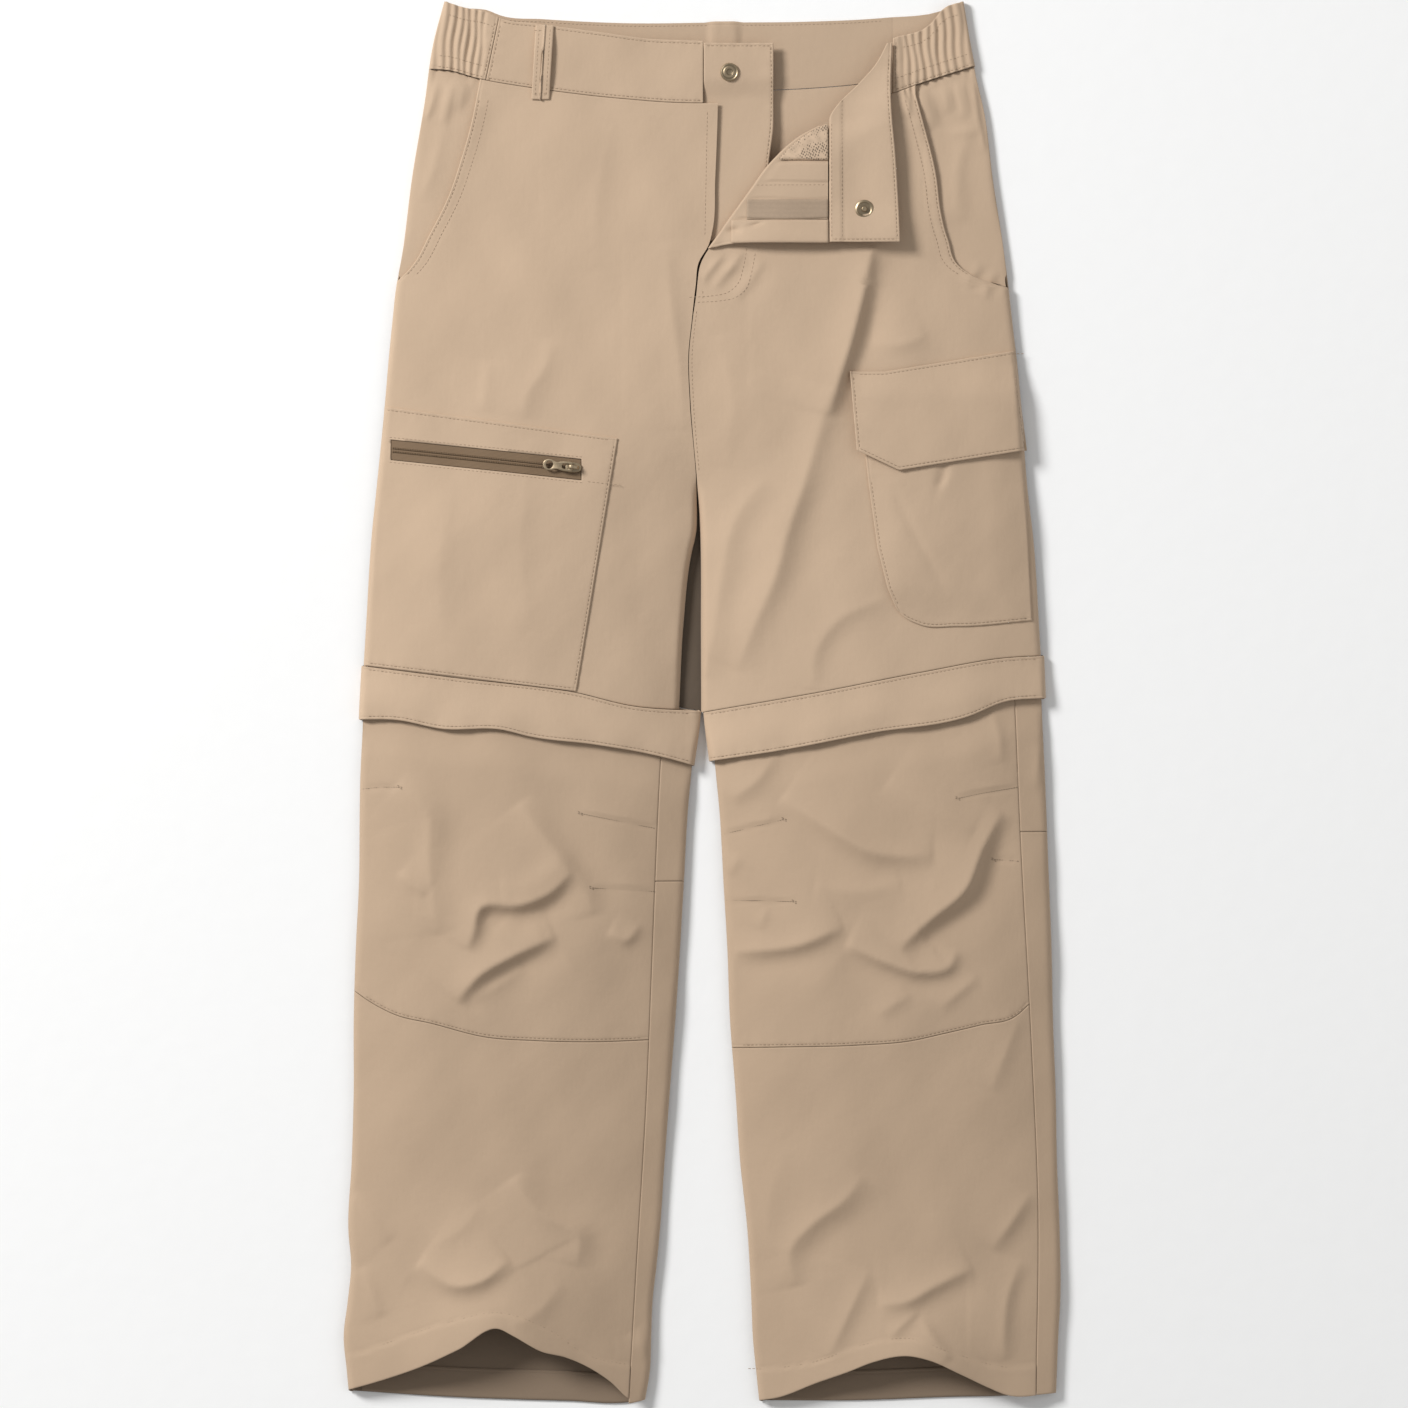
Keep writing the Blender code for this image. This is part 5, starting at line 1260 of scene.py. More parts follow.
def build_belt_loops():
    def over(across, down):
        middle = 1 - np.abs(2 * ease(LOOP_TOP, LOOP_BOTTOM, down) - 1) ** 4
        return OVERLAY_LIFT + WALL + 0.0003 + LOOP_RISE * middle + 0 * across
    start = lambda down: -0.1245 - 0.06 * (down - 0.02)
    stop = shifted(start, LOOP_WIDTH)
    loop = Span(on_front("waist", over), start, stop, places(LOOP_WIDTH, GATHER_CELL), (), ())
    points, near = sheet_points([loop], steady(LOOP_BOTTOM), steady(LOOP_TOP), places(0.055, FINE),
                                (), ())
    cloth_piece("belt_loop_right_front", points, near, finish("band"))
    under = Span(on_back("waist"), steady(BACK_LOOP_MIDDLE + LOOP_WIDTH / 2),
                 steady(BACK_LOOP_MIDDLE - LOOP_WIDTH / 2), places(LOOP_WIDTH, FINE), (), ())
    points, near = sheet_points([under], steady(0.0640), steady(0.0150), places(0.049, COARSE), (),
                                ())
    cloth_piece("belt_loop_back", points, near, finish("band"), wall=0.0010)
    height = on_front("waist", over)
    rows = [(height, down_row([(0.02, -0.1245), (0.12, -0.1305)], shift, 0.021, 0.071))
            for shift in (0.0026, LOOP_WIDTH - 0.0026)]
    rows += [(height, (np.linspace(-0.1262, -0.1160, 20), np.full(20, down)))
             for down in (0.0694, 0.0706, 0.0224)]
    thread_piece("Belt_loop_stitching", rows, finish("thread"))


def build_fly():
    def tuck(across, down):
        return -FLY_TUCK * ease(0.056, 0.074, down) + 0 * across
    stop = lambda down: SHIELD_RIGHT - 0.004 * ease(0.09, 0.13, down)
    shield = Span(on_front("waist", tuck), steady(CENTRE_SEAM + GAP + 0.0001), stop,
                  places(0.052, FINE), (), (TOPSTITCH,))
    points, near = sheet_points([shield], steady(SHIELD_BOTTOM), steady(0.0315),
                                places(0.149, FINE),
                                (), (TOPSTITCH,))
    cloth_piece("fly_shield", points, near, finish("band"))
    height = on_front("waist", tuck)
    rows = [(height, down_row([(0.03, SHIELD_RIGHT), (0.09, SHIELD_RIGHT),
                               (0.13, SHIELD_RIGHT - 0.004),
                               (0.18, SHIELD_RIGHT - 0.004)], -0.0022, 0.034, 0.150)),
            (height, (np.linspace(0.003, 0.051, 60), np.full(60, 0.0337)))]
    thread_piece("Fly_stitching", rows, finish("thread"))


def corner_offset(across, down):
    """How far the turned-back corner stands off the front under it."""
    away = across - along(FOLD_LINE, down)
    curl = CORNER_CURL * ease(0.150, 0.184, down) * ease(0.010, 0.035, across)
    curl = curl + CORNER_CURL * ease(0.112, 0.150, across) * ease(0.030, 0.090, down)
    return CORNER_START + CORNER_RISE * ease(0.0, 0.050, away) + curl


def corner_relief(across, down):
    """Seams and layers that show on the inside of the turned corner."""
    total = corner_offset(across, down)
    inward = ease(0.004, 0.012, across - along(FOLD_LINE, down))
    for middle, depth, width in CORNER_GROOVES:
        sway = 0.0006 * np.sin(across / 0.011 + middle * 90)
        total = total - inward * depth * bell(down - middle - sway, width)
    total = total + inward * 0.0005 * ease(0.1205, 0.1225, down) * ease(0.1365, 0.1350, down)
    total = total - 0.0022 * bell(across - 0.024, 0.0045) * bell(down - 0.1725, 0.0024)
    total = total - 0.0012 * bell(across - 0.040,
                                  0.006) * bell(down - 0.1685 + 0.3 * (across - 0.04), 0.0016)
    return total


FOLD_TURNS = (-65, -40, -15, 8, 28, 46, 62, 76)


def folded_points(offset, start, stop, low, high, columns, levels, sewn_low, sewn_high, sewn_stop):
    """A turned-back sheet: its rolled edge along the fold line, then the sheet over the front."""
    span = Span(on_front("waist", offset), start, stop, columns, None, sewn_stop)
    flat, near = sheet_points([span], low, high, levels, sewn_low, sewn_high)
    radius = (CORNER_START + WALL) / 2
    bends = []
    for degrees in FOLD_TURNS:
        angle = math.radians(degrees)
        bend = flat[:, :1, :].copy()
        down = LENGTH / 2 - bend[:, :, 1]
        bend[:, :, 0] -= math.cos(angle) * fold_width(down) * 0.62
        bend[:, :, 2] += radius * (math.sin(angle) - 1)
        bends.append(bend)
    return np.concatenate(bends + [flat],
                          axis=1), np.concatenate([near[:, :1]] * len(bends) + [near], axis=1)


def build_corner():
    start = lambda down: along(FOLD_LINE, down) + 0.62 * fold_width(down) + 0.0004
    low = curve(CORNER_LOW)
    points, near = folded_points(corner_relief, start, steady(CORNER_RIGHT), low, steady(0.0940),
                                 places(0.07, 0.0014), places(0.10,
                                                              0.0012), (TOPSTITCH,), None, None)
    cloth_piece("front_left_turnback", points, near, finish("inside"))

    def band(across, down):
        raised = 0.0007 * ease(0.0952, 0.0968, across) * ease(0.1052, 0.1038, across)
        return corner_offset(across, down) + raised
    strip = Span(on_front("waist", band), curve(STRIP_SEAM), curve(STRIP_EDGE),
                 places(0.05, 0.0016),
                 (), (TOPSTITCH,))
    points, near = sheet_points([strip], steady(CORNER_BOTTOM - 0.0010), steady(0.0320),
                                places(0.15, 0.0016), (TOPSTITCH,), None)
    cloth_piece("waistband_front_left", points, near, finish("facing"))

    def over(across, down):
        return corner_relief(across, down) + OVERLAY_LIFT

    for node, left, top, bottom, key, slot, wall in (
            ("fly_facing_left", 0.0225, 0.1655, 0.1815, "facing", "cloth_upper", 0.0009),
            ("fly_zip_tape_left", 0.0340, 0.1500, 0.1645, "pale_tape", "zip_tape", THIN_WALL)):
        span = Span(on_front("waist", over), steady(left), steady(0.0938), places(0.07, 0.0016),
                    (), ())
        points, near = sheet_points([span], steady(bottom), steady(top), places(0.016, 0.0010), (),
                                    ())
        cloth_piece(node, points, near, finish(key), wall=wall, outward=True)
    bag_start = shifted(curve(FOLD_LINE), 0.0052)
    span = Span(on_front("waist", over), bag_start, steady(0.0938), places(0.03, GATHER_CELL), (),
                ())
    points, near = sheet_points([span], steady(0.1192), steady(0.0935), places(0.02, GATHER_CELL),
                                (), ())
    cloth_piece("pocket_bag_mesh", points, near, finish("net"), wall=THIN_WALL, outward=True)
    height = on_front("waist", band)
    rows = [(height, down_row(STRIP_SEAM, 0.0018, 0.092, 0.178)),
            (height, down_row([(0.06, 0.1046), (0.19, 0.1046)], 0.0, 0.074, 0.178)),
            (height, down_row(STRIP_EDGE, -0.0022, 0.040, 0.178)),
            (height, (np.linspace(0.098, 0.144, 60), np.full(60, CORNER_BOTTOM - 0.0031)))]
    height = on_front("waist", over)
    rows += [(height, (np.linspace(0.026, 0.092, 60), np.full(60, down))) for down in (0.1672,
                                                                                       0.1797)]
    rows += [(on_front("waist", corner_relief),
              (np.linspace(0.040, 0.092, 60), np.full(60, 0.1385)))]
    thread_piece("Corner_stitching", rows, finish("thread"))


def cut_window(data, corners):
    """Opens a straight-sided window in a sheet."""
    work = bmesh.new()
    work.from_mesh(data)
    sides = []
    for (ax, ad), (bx, bd) in zip(corners, corners[1:] + corners[:1]):
        sides.append((ax, LENGTH / 2 - ad, -(bd - ad), -(bx - ax)))
        bmesh.ops.bisect_plane(
            work, geom=work.verts[:] + work.edges[:] + work.faces[:], dist=1e-7,
            plane_co=(ax, LENGTH / 2 - ad, 0.0), plane_no=(-(bd - ad), -(bx - ax), 0.0))
    inside = []
    for face in work.faces:
        middle = face.calc_center_median()
        if max((middle.x - x) * nx + (middle.y - y) * ny for x, y, nx, ny in sides) < 0:
            inside.append(face)
    bmesh.ops.delete(work, geom=inside, context="FACES")
    work.to_mesh(data)
    work.free()


def side_of(corners, first, second):
    """A straight line through two corners, read by distance down."""
    rows = sorted([(corners[first][1], corners[first][0]),
                   (corners[second][1], corners[second][0])])
    slope = (rows[1][1] - rows[0][1]) / (rows[1][0] - rows[0][0])
    return lambda down: rows[0][1] + slope * (down - rows[0][0])


def level_of(corners, first, second):
    """A straight line through two corners, read by distance across."""
    (ax, ad), (bx, bd) = corners[first], corners[second]
    return lambda across: ad + (bd - ad) / (bx - ax) * (across - ax)


def build_thigh_pocket():
    def over(across, down):
        window = bell(down - 0.3440 - (across + 0.16) * 0.105, 0.006) * ease(-0.234, -0.228, across)
        window = window * ease(-0.084, -0.091, across)
        return OVERLAY_LIFT + WALL + 0.0004 * window
    span = Span(on_front("thigh_right", over), side_of(THIGH_POCKET, 0, 3),
                side_of(THIGH_POCKET, 1, 2),
                places(0.17, FINE), (), (TOPSTITCH,))
    points, near = sheet_points([span], level_of(THIGH_POCKET, 0, 1), level_of(THIGH_POCKET, 2, 3),
                                places(0.19, FINE), (TOPSTITCH,), (TOPSTITCH,))
    item = cloth_piece("thigh_pocket", points, near, finish("upper_turned"))
    cut_window(item.data, ZIP_WINDOW)
    tape_height = lambda across, down: OVERLAY_LIFT + THIN_WALL + 0 * across
    inset = 0.0006
    window = ZIP_WINDOW
    span = Span(on_front("thigh_right", tape_height), steady(-0.2330 + inset),
                steady(-0.0900 - inset),
                places(0.143, FINE))
    points, near = sheet_points([span], shifted(level_of(window, 0, 1), -inset),
                                shifted(level_of(window, 2, 3), inset), places(0.015, 0.0009))
    cloth_piece("thigh_zip_tape", points, near, finish("tape"), wall=THIN_WALL)
    height = on_front("thigh_right", over)
    right = side_of(THIGH_POCKET, 1, 2)
    at = np.linspace(0.333, 0.512, 120)
    rows = [(height, (right(at) - 0.0021, at))]
    across = np.linspace(-0.236, -0.070, 120)
    rows += [(height, (across, level_of(THIGH_POCKET, 2, 3)(across) + 0.0021))]
    across = np.linspace(-0.249, -0.098, 120)
    rows += [(height, (across, level_of(THIGH_POCKET, 0, 1)(across) - 0.0021))]
    across = np.linspace(-0.2345, -0.089, 120)
    rows += [(height, (across, level_of(window, 0, 1)(across) + 0.0016)),
             (height, (across, level_of(window, 2, 3)(across) - 0.0016))]
    across = np.linspace(-0.086, -0.060, 30)
    rows += [(height, (across, level_of(window, 0, 1)(across) + 0.0004))]
    thread_piece("Thigh_pocket_stitching", rows, finish("thread"))
    coil = []
    for shift in (-0.0013, 0.0013):
        across = np.linspace(-0.2318, -0.1040, 200)
        middle = (level_of(window, 0, 1)(across) + level_of(window, 2, 3)(across)) / 2
        coil.append((on_front("thigh_right", lambda a,
                              d: OVERLAY_LIFT + THIN_WALL + 0.0002 + 0 * a),
                     (across, middle + shift)))
    thread_piece("Thigh_zip_coil", coil, finish("tape_thread"), pitch=0.0013,
                 share=0.66,
                 thickness=0.0015)


def build_cargo_pocket():
    def body(across, down):
        inward = np.minimum(np.minimum(across - 0.118, 0.243 - across), 0.466 - down)
        crease = -0.0010 * bell(across - 0.1770 - 0.2 * (0.36 - down), 0.003) * ease(0.385, 0.350,
                                                                                     down)
        return OVERLAY_LIFT + WALL + 0.0022 * ease(0.0, 0.03, inward) + crease

    def flap(across, down):
        sag = 0.0006 * np.sin(across / 0.018 + 1.0) * ease(0.300, 0.345, down)
        return OVERLAY_LIFT + WALL + 0.0003 + 0.0054 * ease(0.264, 0.300, down) + sag
    left = lines([(0.3000, 0.1175), (0.3650, 0.1248), (0.4100, 0.1310), (0.4400, 0.1385),
                  (0.4600, 0.1470)])
    right = lines([(0.2900, 0.2350), (0.3360, 0.2405), (0.4650, 0.2470)])
    low = curve([(0.1350, 0.4400), (0.1480, 0.4590), (0.1620, 0.4670), (0.1900, 0.4685),
                 (0.2470, 0.4640)])
    span = Span(on_front("thigh_left", body), left, right, places(0.11, FINE), (TOPSTITCH,), ())
    points, near = sheet_points([span], low, level_of(CARGO_BODY, 0, 6), places(0.17, FINE),
                                (TOPSTITCH,), None)
    cloth_piece("cargo_pocket_body", points, near, finish("upper_turned"))
    left = side_of(CARGO_FLAP, 0, 1)
    right = side_of(CARGO_FLAP, 4, 3)
    low = lines([(0.1100, 0.3345), (0.1155, 0.3370), (0.1470, 0.3520), (0.2435, 0.3365),
                 (0.2500, 0.3355)])
    high = lines([(0.1000, 0.2780), (0.1365, 0.2780), (0.2340, 0.2620)])
    span = Span(on_front("thigh_left", flap), left, right, places(0.125, FINE), (TOPSTITCH,),
                (TOPSTITCH,))
    points, near = sheet_points([span], low, high, places(0.075, FINE), (TOPSTITCH,), (TOPSTITCH,))
    cloth_piece("cargo_pocket_flap", points, near, finish("upper"))
    across = np.linspace(0.1175, 0.2415, 120)
    height = on_front("thigh_left", flap)
    at = np.linspace(0.282, 0.335, 40)
    rows = [(height, (across, low(across) - 0.0024)), (height, (across, high(across) + 0.0021)),
            (height, (left(at) + 0.0021, at)), (height, (right(at) - 0.0021, at))]
    height = on_front("thigh_left", body)
    edge = lines([(0.3600, 0.1242), (0.4100, 0.1310), (0.4400, 0.1385), (0.4540, 0.1450)])
    at = np.linspace(0.360, 0.452, 80)
    rows += [(height, (edge(at) + 0.0022, at)),
             (height, across_row([(0.1350, 0.4400), (0.1480, 0.4590), (0.1620, 0.4670),
                                  (0.1900, 0.4685),
                                  (0.2470, 0.4640)], -0.0022, 0.150, 0.243))]
    thread_piece("Cargo_pocket_stitching", rows, finish("thread"))


def ring_spans(tube, offset, floor, cell, back_edges):
    table = TUBES[tube][0]
    return [Span(on_front(tube, offset), edge_left(table), edge_right(table), places(0.26, cell)),
            # The back of each ring is inner cloth and gets painted shade
            Span(on_back(tube, floor), edge_right(table), edge_left(table),
                 places(0.26, COARSE)[1:], low=back_edges[0], high=back_edges[1], inner=True)]


def close_ring(points):
    points[:, -1, :] = points[:, 0, :]
    return points


def tucked(seam_edge):
    """Offset of cloth under a storm flap, which fades out below the flap's free edge."""
    def offset(across, down):
        below = down - along(seam_edge, across)
        return -TUCK * (1 - ease(0.002, 0.030, below))
    return offset


def raised(seam_edge):
    def floor(across, down):
        below = down - along(seam_edge, across)
        return UNDER_FLAP_FLOOR * (1 - ease(0.001, 0.016, below))
    return floor


def build_zip_off_bands():
    rows = []
    for side, seam, edge, back_seam in (
            ("right", FLAP_SEAM_RIGHT, FLAP_EDGE_RIGHT, BACK_FLAP_SEAM_RIGHT),
            ("left", FLAP_SEAM_LEFT, FLAP_EDGE_LEFT, BACK_FLAP_SEAM_LEFT)):
        def lift(across, down, seam=seam):
            below = down - along(seam, across)
            ripple = 0.0006 * np.sin(across / 0.014 + below * 40) + 0.0004 * np.sin(across / 0.0061)
            return FLAP_LIFT * ease(0.0, 0.030, below) + ripple * ease(0.008, 0.040, below)
        tube = "flap_" + side
        spans = ring_spans(tube, lift, 0.0, FINE, (curve(edge), curve(back_seam)))
        points, near = sheet_points(spans, curve(edge), curve(seam), places(0.045, 0.0018),
                                    (TOPSTITCH,), (TOPSTITCH,))
        cloth_piece("storm_flap_" + side, close_ring(points), near, finish("upper"),
                    closed=True)
        spans = ring_spans("shin_" + side, tucked(edge), raised(edge), 0.004,
                           (shifted(curve(seam), KNEE_ZIP_BOTTOM),
                            shifted(curve(seam), KNEE_ZIP_TOP)))
        points, near = sheet_points(spans, shifted(curve(seam), KNEE_ZIP_BOTTOM),
                                    shifted(curve(seam), KNEE_ZIP_TOP), places(0.011, 0.0016))
        cloth_piece("knee_zip_" + side, close_ring(points), near, finish("tape"),
                    wall=THIN_WALL, closed=True)
        first, last = (-0.250, -0.010) if side == "right" else (0.006, 0.250)
        rows += [(on_front(tube, lift), across_row(seam, 0.0021, first, last)),
                 (on_front(tube, lift), across_row(edge, -0.0024, first, last))]
    thread_piece("Storm_flap_stitching", rows, finish("thread"))


def build_lower_legs():
    inseam = curve(INSEAM_RIGHT)
    outseam = curve(OUTSEAM_LEFT)
    stops = {"right": shifted(inseam, -SEAM_GAP), "left": shifted(outseam, -SEAM_GAP)}
    tables = {
        "right": (FLAP_SEAM_RIGHT, FLAP_EDGE_RIGHT, KNEE_SEAM_RIGHT, HEM_FRONT_RIGHT,
                  HEM_BACK_RIGHT,
                  HEM_STITCH_RIGHT),
        "left": (FLAP_SEAM_LEFT, FLAP_EDGE_LEFT, KNEE_SEAM_LEFT, HEM_FRONT_LEFT, HEM_BACK_LEFT,
                 HEM_STITCH_LEFT)}
    rows = []
    for side, (seam, edge, knee, hem, hem_back, hem_stitch) in tables.items():
        tube = "shin_" + side
        table = TUBES[tube][0]
        under = tucked(edge)
        top = shifted(curve(seam), KNEE_ZIP_BOTTOM + GAP)

        def hemmed(across, down, under=under, stitch=hem_stitch, hem=hem):
            turned = ease(-0.0012, 0.0010, down - along(stitch, across))
            groove = bell(down - along(stitch, across), 0.0009)
            return under(across, down) + 0.0006 * turned - 0.0006 * groove
        front = Span(on_front(tube, under), edge_left(table), stops[side], places(0.25, FINE),
                     None, ())
        points, near = sheet_points([front], shifted(curve(knee), -GAP / 2), top,
                                    places(0.24, FINE),
                                    (TOPSTITCH,), None)
        cloth_piece("knee_panel_" + side, points, near, finish("lower"))
        front = Span(on_front(tube, hemmed), edge_left(table), stops[side], places(0.25, FINE),
                     None, ())
        points, near = sheet_points([front], curve(hem), shifted(curve(knee), GAP / 2),
                                    places(0.28, FINE), (), ())
        cloth_piece("shin_panel_" + side, points, near, finish("lower"))
        wrap_start = shifted(inseam if side == "right" else outseam, SEAM_GAP)
        spans = [Span(on_front(tube, under), wrap_start, edge_right(table), places(0.02, FINE), ()),
                 Span(on_back(tube, raised(edge)), edge_right(table), edge_left(table),
                      places(0.26, COARSE)[1:], inner=True)]
        level = BACK_KNEE_SEAM[side]
        for name, low, high, length in (
                ("back_knee_", steady(level), top, 0.14),
                ("back_calf_", curve(hem_back), steady(level + GAP), 0.38)):
            # These backs are inner cloth, darkened with painted shade most in the hem mouths
            points, near = sheet_points(spans, low, high, places(length, 0.005), (), ())
            cloth_piece(name + side, points, near, finish("lower"))
        strip = Span(on_back(tube, WALL + GAP), edge_right(table, -HEM_TURN_INSET),
                     edge_left(table, HEM_TURN_INSET), places(0.2, COARSE), inner=True)
        points, near = sheet_points([strip], shifted(curve(hem_back), -HEM_TURN_FROM),
                                    shifted(curve(hem_back), -HEM_TURN_TO), places(0.021, 0.002),
                                    (), (TOPSTITCH,))
        # The turned hems carry painted shade inside the hem mouths
        cloth_piece("hem_turn_back_" + side, points, near, finish("lower_inside_shaded"),
                    wall=0.0009)
        first, last = (-0.252, -0.046) if side == "right" else (0.030, 0.240)
        rows += [(on_front(tube, under), across_row(knee, -0.0021, first, last)),
                 (on_front(tube, hemmed), across_row(hem_stitch, 0.0, first + 0.004, last - 0.008))]
    thread_piece("Lower_leg_stitching", rows, finish("lower_thread"))
    darts = []
    for side, dart in KNEE_DARTS:
        height = on_front("shin_" + side, tucked(tables[side][1]))
        darts.append((height, route_row(dart)))
        across, down = dart[-1]
        knot = [(across - 0.0022, down - 0.0010), (across, down), (across + 0.0022, down + 0.0010)]
        darts += [(height, route_row([(x, d + lift) for x, d in knot])) for lift in (-0.0006,
                                                                                     0.0006)]
    # A near-solid dark thread line: thread colour and painted shade of the dart's crease
    thread_piece("Knee_darts", darts, finish("dart"), pitch=0.0019, share=0.94,
                 thickness=0.00062)


def flat_curve(name, outlines, thickness, rounding):
    """A flat outline with holes and rounded rims, as a mesh."""
    data = bpy.data.curves.new(name, "CURVE")
    data.dimensions = "2D"
    data.fill_mode = "BOTH"
    data.extrude = thickness / 2 - rounding
    data.bevel_depth = rounding
    data.bevel_resolution = 2
    data.offset = -rounding
    for outline in outlines:
        spline = data.splines.new("POLY")
        spline.points.add(len(outline) - 1)
        spline.use_cyclic_u = True
        for point, (x, y) in zip(spline.points, outline):
            point.co = (x, y, 0.0, 1.0)
    guide = bpy.data.objects.new(name + "_guide", data)
    bpy.context.scene.collection.objects.link(guide)
    bpy.context.view_layer.update()
    shape = bpy.data.meshes.new_from_object(guide.evaluated_get(bpy.context.evaluated_depsgraph_get()))
    bpy.data.objects.remove(guide, do_unlink=True)
    work = bmesh.new()
    work.from_mesh(shape)
    bmesh.ops.remove_doubles(work, verts=work.verts[:], dist=1e-6)
    bmesh.ops.recalc_face_normals(work, faces=work.faces[:])
    return work


def oval(x, y, half_x, half_y, steps=40):
    turns = [math.tau * index / steps for index in range(steps)]
    return [(x + half_x * math.cos(turn), y + half_y * math.sin(turn)) for turn in turns]


def rounded(outline, steps=4):
    """An outline with its corners cut into short curves."""
    points = []
    for before, corner, after in zip(outline[-1:] + outline[:-1], outline,
                                     outline[1:] + outline[:1]):
        for index in range(steps + 1):
            t = index / steps
            first = [corner[axis] + 0.38 * (before[axis] - corner[axis]) for axis in (0, 1)]
            last = [corner[axis] + 0.38 * (after[axis] - corner[axis]) for axis in (0, 1)]
            points.append(tuple((1 - t) ** 2 * first[axis] + 2 * t * (1 - t) * corner[axis]
                                + t * t * last[axis] for axis in (0, 1)))
    return points


def metal_piece(name, work, node, place, turn, body=BODY):
    """A finished metal piece: its place goes into its mesh."""
    bmesh.ops.transform(work, matrix=Matrix.Translation(place) @ turn, verts=work.verts[:])
    data = bpy.data.meshes.new(name)
    work.to_mesh(data)
    work.free()
    item = to_object(name, data, finish("brass"))
    data.set_sharp_from_angle(angle=math.radians(55))
    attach(item, body)
    if node:
        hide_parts(node)
    return item


def build_zip_pull():
    across, down = ZIP_AT
    low, high = (list(corner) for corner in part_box("thigh_zip_slider"))
    place = (across, LENGTH / 2 - down, low[2])
    turn = Matrix.Rotation(ZIP_SLOPE, 4, "Z")
    half_x = SLIDER_SIZE[0] / 2
    half_y = SLIDER_SIZE[1] / 2
    body = []
    for index in range(48):
        angle = math.tau * index / 48
        cos = math.copysign(abs(math.cos(angle)) ** 0.72, math.cos(angle))
        sin = math.copysign(abs(math.sin(angle)) ** 0.72, math.sin(angle))
        narrow = 1 - 0.10 * cos
        body.append((SLIDER_FORWARD + half_x * cos, half_y * sin * narrow))
    work = flat_curve("slider", [body], SLIDER_SIZE[2], 0.0007)
    bmesh.ops.translate(work, vec=(0.0, 0.0, SLIDER_SIZE[2] / 2), verts=work.verts[:])
    bridge = flat_curve("bridge", [rounded(BRIDGE_OUTLINE), rounded(BRIDGE_HOLE)], BRIDGE_WIDTH,
                        0.0005)
    bmesh.ops.rotate(bridge, verts=bridge.verts[:], cent=(0, 0, 0),
                     matrix=Matrix.Rotation(math.radians(90), 3, "X"))
    bridge_data = bpy.data.meshes.new("bridge")
    bridge.to_mesh(bridge_data)
    bridge.free()
    work.from_mesh(bridge_data)
    metal_piece("Slider", work, "thigh_zip_slider", place, turn)
    outline = PULL_HALVES + [(x, -half) for x, half in reversed(PULL_HALVES)]
    pull = flat_curve("pull", [rounded(outline), oval(*PULL_HOLE), rounded(PULL_SLOT)], PULL_WALL,
                      0.0004)
    axis = (place[0], place[1], place[2] + PULL_HEIGHT)
    tilt = turn @ Matrix.Rotation(PULL_DROOP, 4, "Y")
    metal_piece("Pull_tab", pull, "thigh_zip_pull", axis, tilt, "pull_tab")


def turned_piece(name, node, profile, place):
    """A round metal piece spun from (radius, height) pairs that start and end on its axis."""
    work = bmesh.new()
    verts = [work.verts.new((radius, 0.0, height)) for radius, height in profile]
    edges = [work.edges.new(pair) for pair in zip(verts, verts[1:])]
    bmesh.ops.spin(work, geom=verts + edges, cent=(0, 0, 0), axis=(0, 0, 1), angle=math.tau,
                   steps=56, use_merge=True)
    bmesh.ops.remove_doubles(work, verts=work.verts[:], dist=1e-6)
    bmesh.ops.recalc_face_normals(work, faces=work.faces[:])
    item = metal_piece(name, work, node, place, Matrix.Identity(4))
    soften = item.modifiers.new("rims", "BEVEL")
    soften.width = 0.00016
    soften.segments = 2
    soften.limit_method = "ANGLE"
    soften.angle_limit = math.radians(25)
    return item


def build_snaps():
    for name, node, (across, down), profile in (
            ("Snap_socket", "snap_socket", SOCKET_AT, SOCKET_PROFILE),
            ("Snap_stud", "snap_stud", STUD_AT, STUD_PROFILE)):
        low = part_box(node)[0]
        turned_piece(name, node, profile, (across, LENGTH / 2 - down, low[2]))


def build_stage():
    settings = looks()
    work = bmesh.new()
    bmesh.ops.create_grid(work, x_segments=2, y_segments=2, size=6.0)
    data = bpy.data.meshes.new("Floor")
    work.to_mesh(data)
    work.free()
    data.transform(Matrix.Translation((0.0, 0.0, -0.0004)))
    floor = to_object("Floor", data, finish("floor"), smooth=False)
    for name, place, size, power in (
            ("Key_light", KEY_AT, 1.6, settings.key_power),
            ("Fill_light", FILL_AT, 3.0, settings.fill_power)):
        light = bpy.data.lights.new(name, "AREA")
        light.shape = "DISK"
        light.size = size
        light.energy = power
        lamp = bpy.data.objects.new(name, light)
        lamp.location = place
        lamp.rotation_euler = Vector(place).to_track_quat("Z", "Y").to_euler()
        bpy.context.scene.collection.objects.link(lamp)
    world = bpy.data.worlds.new("Studio")
    world.use_nodes = True
    world.node_tree.nodes["Background"].inputs["Color"].default_value = (1.0, 1.0, 1.0, 1.0)
    world.node_tree.nodes["Background"].inputs["Strength"].default_value = settings.ambient
    bpy.context.scene.world = world
    bpy.context.scene.view_settings.view_transform = "Standard"
    lens = bpy.data.cameras.new("Camera")
    lens.lens = CAMERA_LENS
    lens.sensor_width = CAMERA_SENSOR
    camera = bpy.data.objects.new("Camera", lens)
    camera.location = (*VIEW_CENTRE, VIEW_WIDTH * CAMERA_LENS / CAMERA_SENSOR)
    bpy.context.scene.collection.objects.link(camera)
    bpy.context.scene.camera = camera


